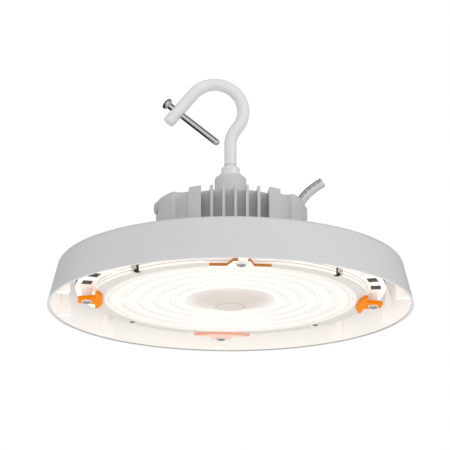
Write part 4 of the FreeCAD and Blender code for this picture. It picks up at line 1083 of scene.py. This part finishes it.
# %% World
scene.view_settings.view_transform = "Standard"
world = bpy.data.worlds.new("studio")
scene.world = world
world.use_nodes = True
sky = world.node_tree
sky.nodes.clear()
direction = add(sky, "ShaderNodeTexCoord").outputs["Generated"]
behind = add(sky, "ShaderNodeSeparateXYZ", direction).outputs["Y"]
depth = add(sky, "ShaderNodeMapRange", behind, From_Min=-1.0, From_Max=1.0)
bright_front = [(0.0, "#F0F0F0"), (0.1, "#E0E0E0")]
dark_sides = [(0.22, "#7C7C7C"), (0.38, "#262626"), (0.6, "#0C0C0C"), (0.93, "#141414")]
white_behind = [(0.97, "#FFFFFF")]
mirrored = add(
    sky, "ShaderNodeValToRGB", depth, stops=bright_front + dark_sides + white_behind
)
ambient = add(sky, "ShaderNodeValToRGB", depth, stops=[(0.0, "#F0F0F0"), (1.0, "#E4E4E4")])
ray = add(sky, "ShaderNodeLightPath").outputs
shiny = add(
    sky,
    "ShaderNodeMath",
    ray["Is Glossy Ray"],
    ray["Is Transmission Ray"],
    operation="MAXIMUM",
)
lighting = add(
    sky, "ShaderNodeMix", data_type="RGBA", Factor=shiny, A=ambient, B=mirrored
)
seen = add(
    sky,
    "ShaderNodeMix",
    data_type="RGBA",
    Factor=ray["Is Camera Ray"],
    A=lighting,
    B=linear("#FFFFFF"),
)
backdrop = add(sky, "ShaderNodeBackground", Color=seen, Strength=1.0)
add(sky, "ShaderNodeOutputWorld", Surface=backdrop)
print("world nodes:", len(sky.nodes))


# %% [markdown]
# ## Lamps
# A large soft lamp stands to the front right and a weaker one hangs overhead. One lamp below
# lights the lens and its frame, and two low ones at the sides reach up into the bowl and
# light its inner wall. Bright pieces would mirror the lamps below as pale patches, so those
# are kept out of reflections.

# %% Soft lamps
def soft_lamp(name, place, target, size, watts, mirrored=True):
    """Round area lamp at a place, aimed at a target; the camera doesn't see it."""
    lamp = bpy.data.lights.new(name, "AREA")
    lamp.shape = "DISK"
    lamp.size = size
    lamp.energy = watts
    holder = bpy.data.objects.new(name, lamp)
    holder.location = place
    aim = Vector(target) - Vector(place)
    holder.rotation_euler = aim.to_track_quat("-Z", "Y").to_euler()
    scene.collection.objects.link(holder)
    holder.visible_camera = False
    holder.visible_glossy = mirrored
    return holder


RIM_CENTRE = (0, 0, 0)
lamps = [
    soft_lamp("key_lamp", (1.8, -2.0, 0.9), (0, 0, 0.05), size=1.2, watts=8.5),
    soft_lamp("top_lamp", (0, -0.4, 2.2), (0, 0, 0.1), size=1.8, watts=3),
    soft_lamp("under_lamp", (0, 0.9, -1.2), RIM_CENTRE, size=1.6, watts=4, mirrored=False),
]
for side, x in (("left", -0.42), ("right", 0.42)):
    place = (x, -0.25, -0.5)
    lamps.append(
        soft_lamp(f"low_lamp_{side}", place, RIM_CENTRE, size=0.6, watts=0.85, mirrored=False)
    )
print("lamps, W:", [round(lamp.data.energy, 2) for lamp in lamps])

# %% [markdown]
# ## Floor
# The floor is a round sheet of pale paper far below, where the hanging light throws only the
# faintest shadow. Towards its edge it runs out into the white of the backdrop.

# %% Floor
FLOOR_DROP = 2.6
FLOOR_RADIUS = 1.7
floor_mesh = bpy.data.meshes.new("floor")
floor_form = bmesh.new()
bmesh.ops.create_circle(
    floor_form,
    cap_ends=True,
    segments=96,
    radius=FLOOR_RADIUS,
    matrix=Matrix.Translation((0, 0, -FLOOR_DROP)),
)
floor_form.to_mesh(floor_mesh)
floor_form.free()
floor = bpy.data.objects.new("floor", floor_mesh)
scene.collection.objects.link(floor)
floor_material, floor_tree, floor_at = start("pale_studio_paper")
paper = add(
    floor_tree,
    "ShaderNodeBsdfPrincipled",
    Base_Color=mottle(floor_tree, cloud(floor_tree, floor_at, 900), "#F4F4F4", "#F0F0F0"),
    Roughness=0.8,
)
white = add(floor_tree, "ShaderNodeEmission", Color=linear("#FFFFFF"), Strength=1.0)
edge = add(
    floor_tree,
    "ShaderNodeMapRange",
    from_axis(floor_tree, floor_at),
    From_Min=0.5 * FLOOR_RADIUS,
    From_Max=0.98 * FLOOR_RADIUS,
    interpolation_type="SMOOTHSTEP",
)
to_camera = add(floor_tree, "ShaderNodeLightPath").outputs["Is Camera Ray"]
floor_surface = add(
    floor_tree, "ShaderNodeMixShader", where_all(floor_tree, edge, to_camera), paper, white
)
add(floor_tree, "ShaderNodeOutputMaterial", Surface=floor_surface)
floor_mesh.materials.append(floor_material)
print("floor at", -FLOOR_DROP, "m")
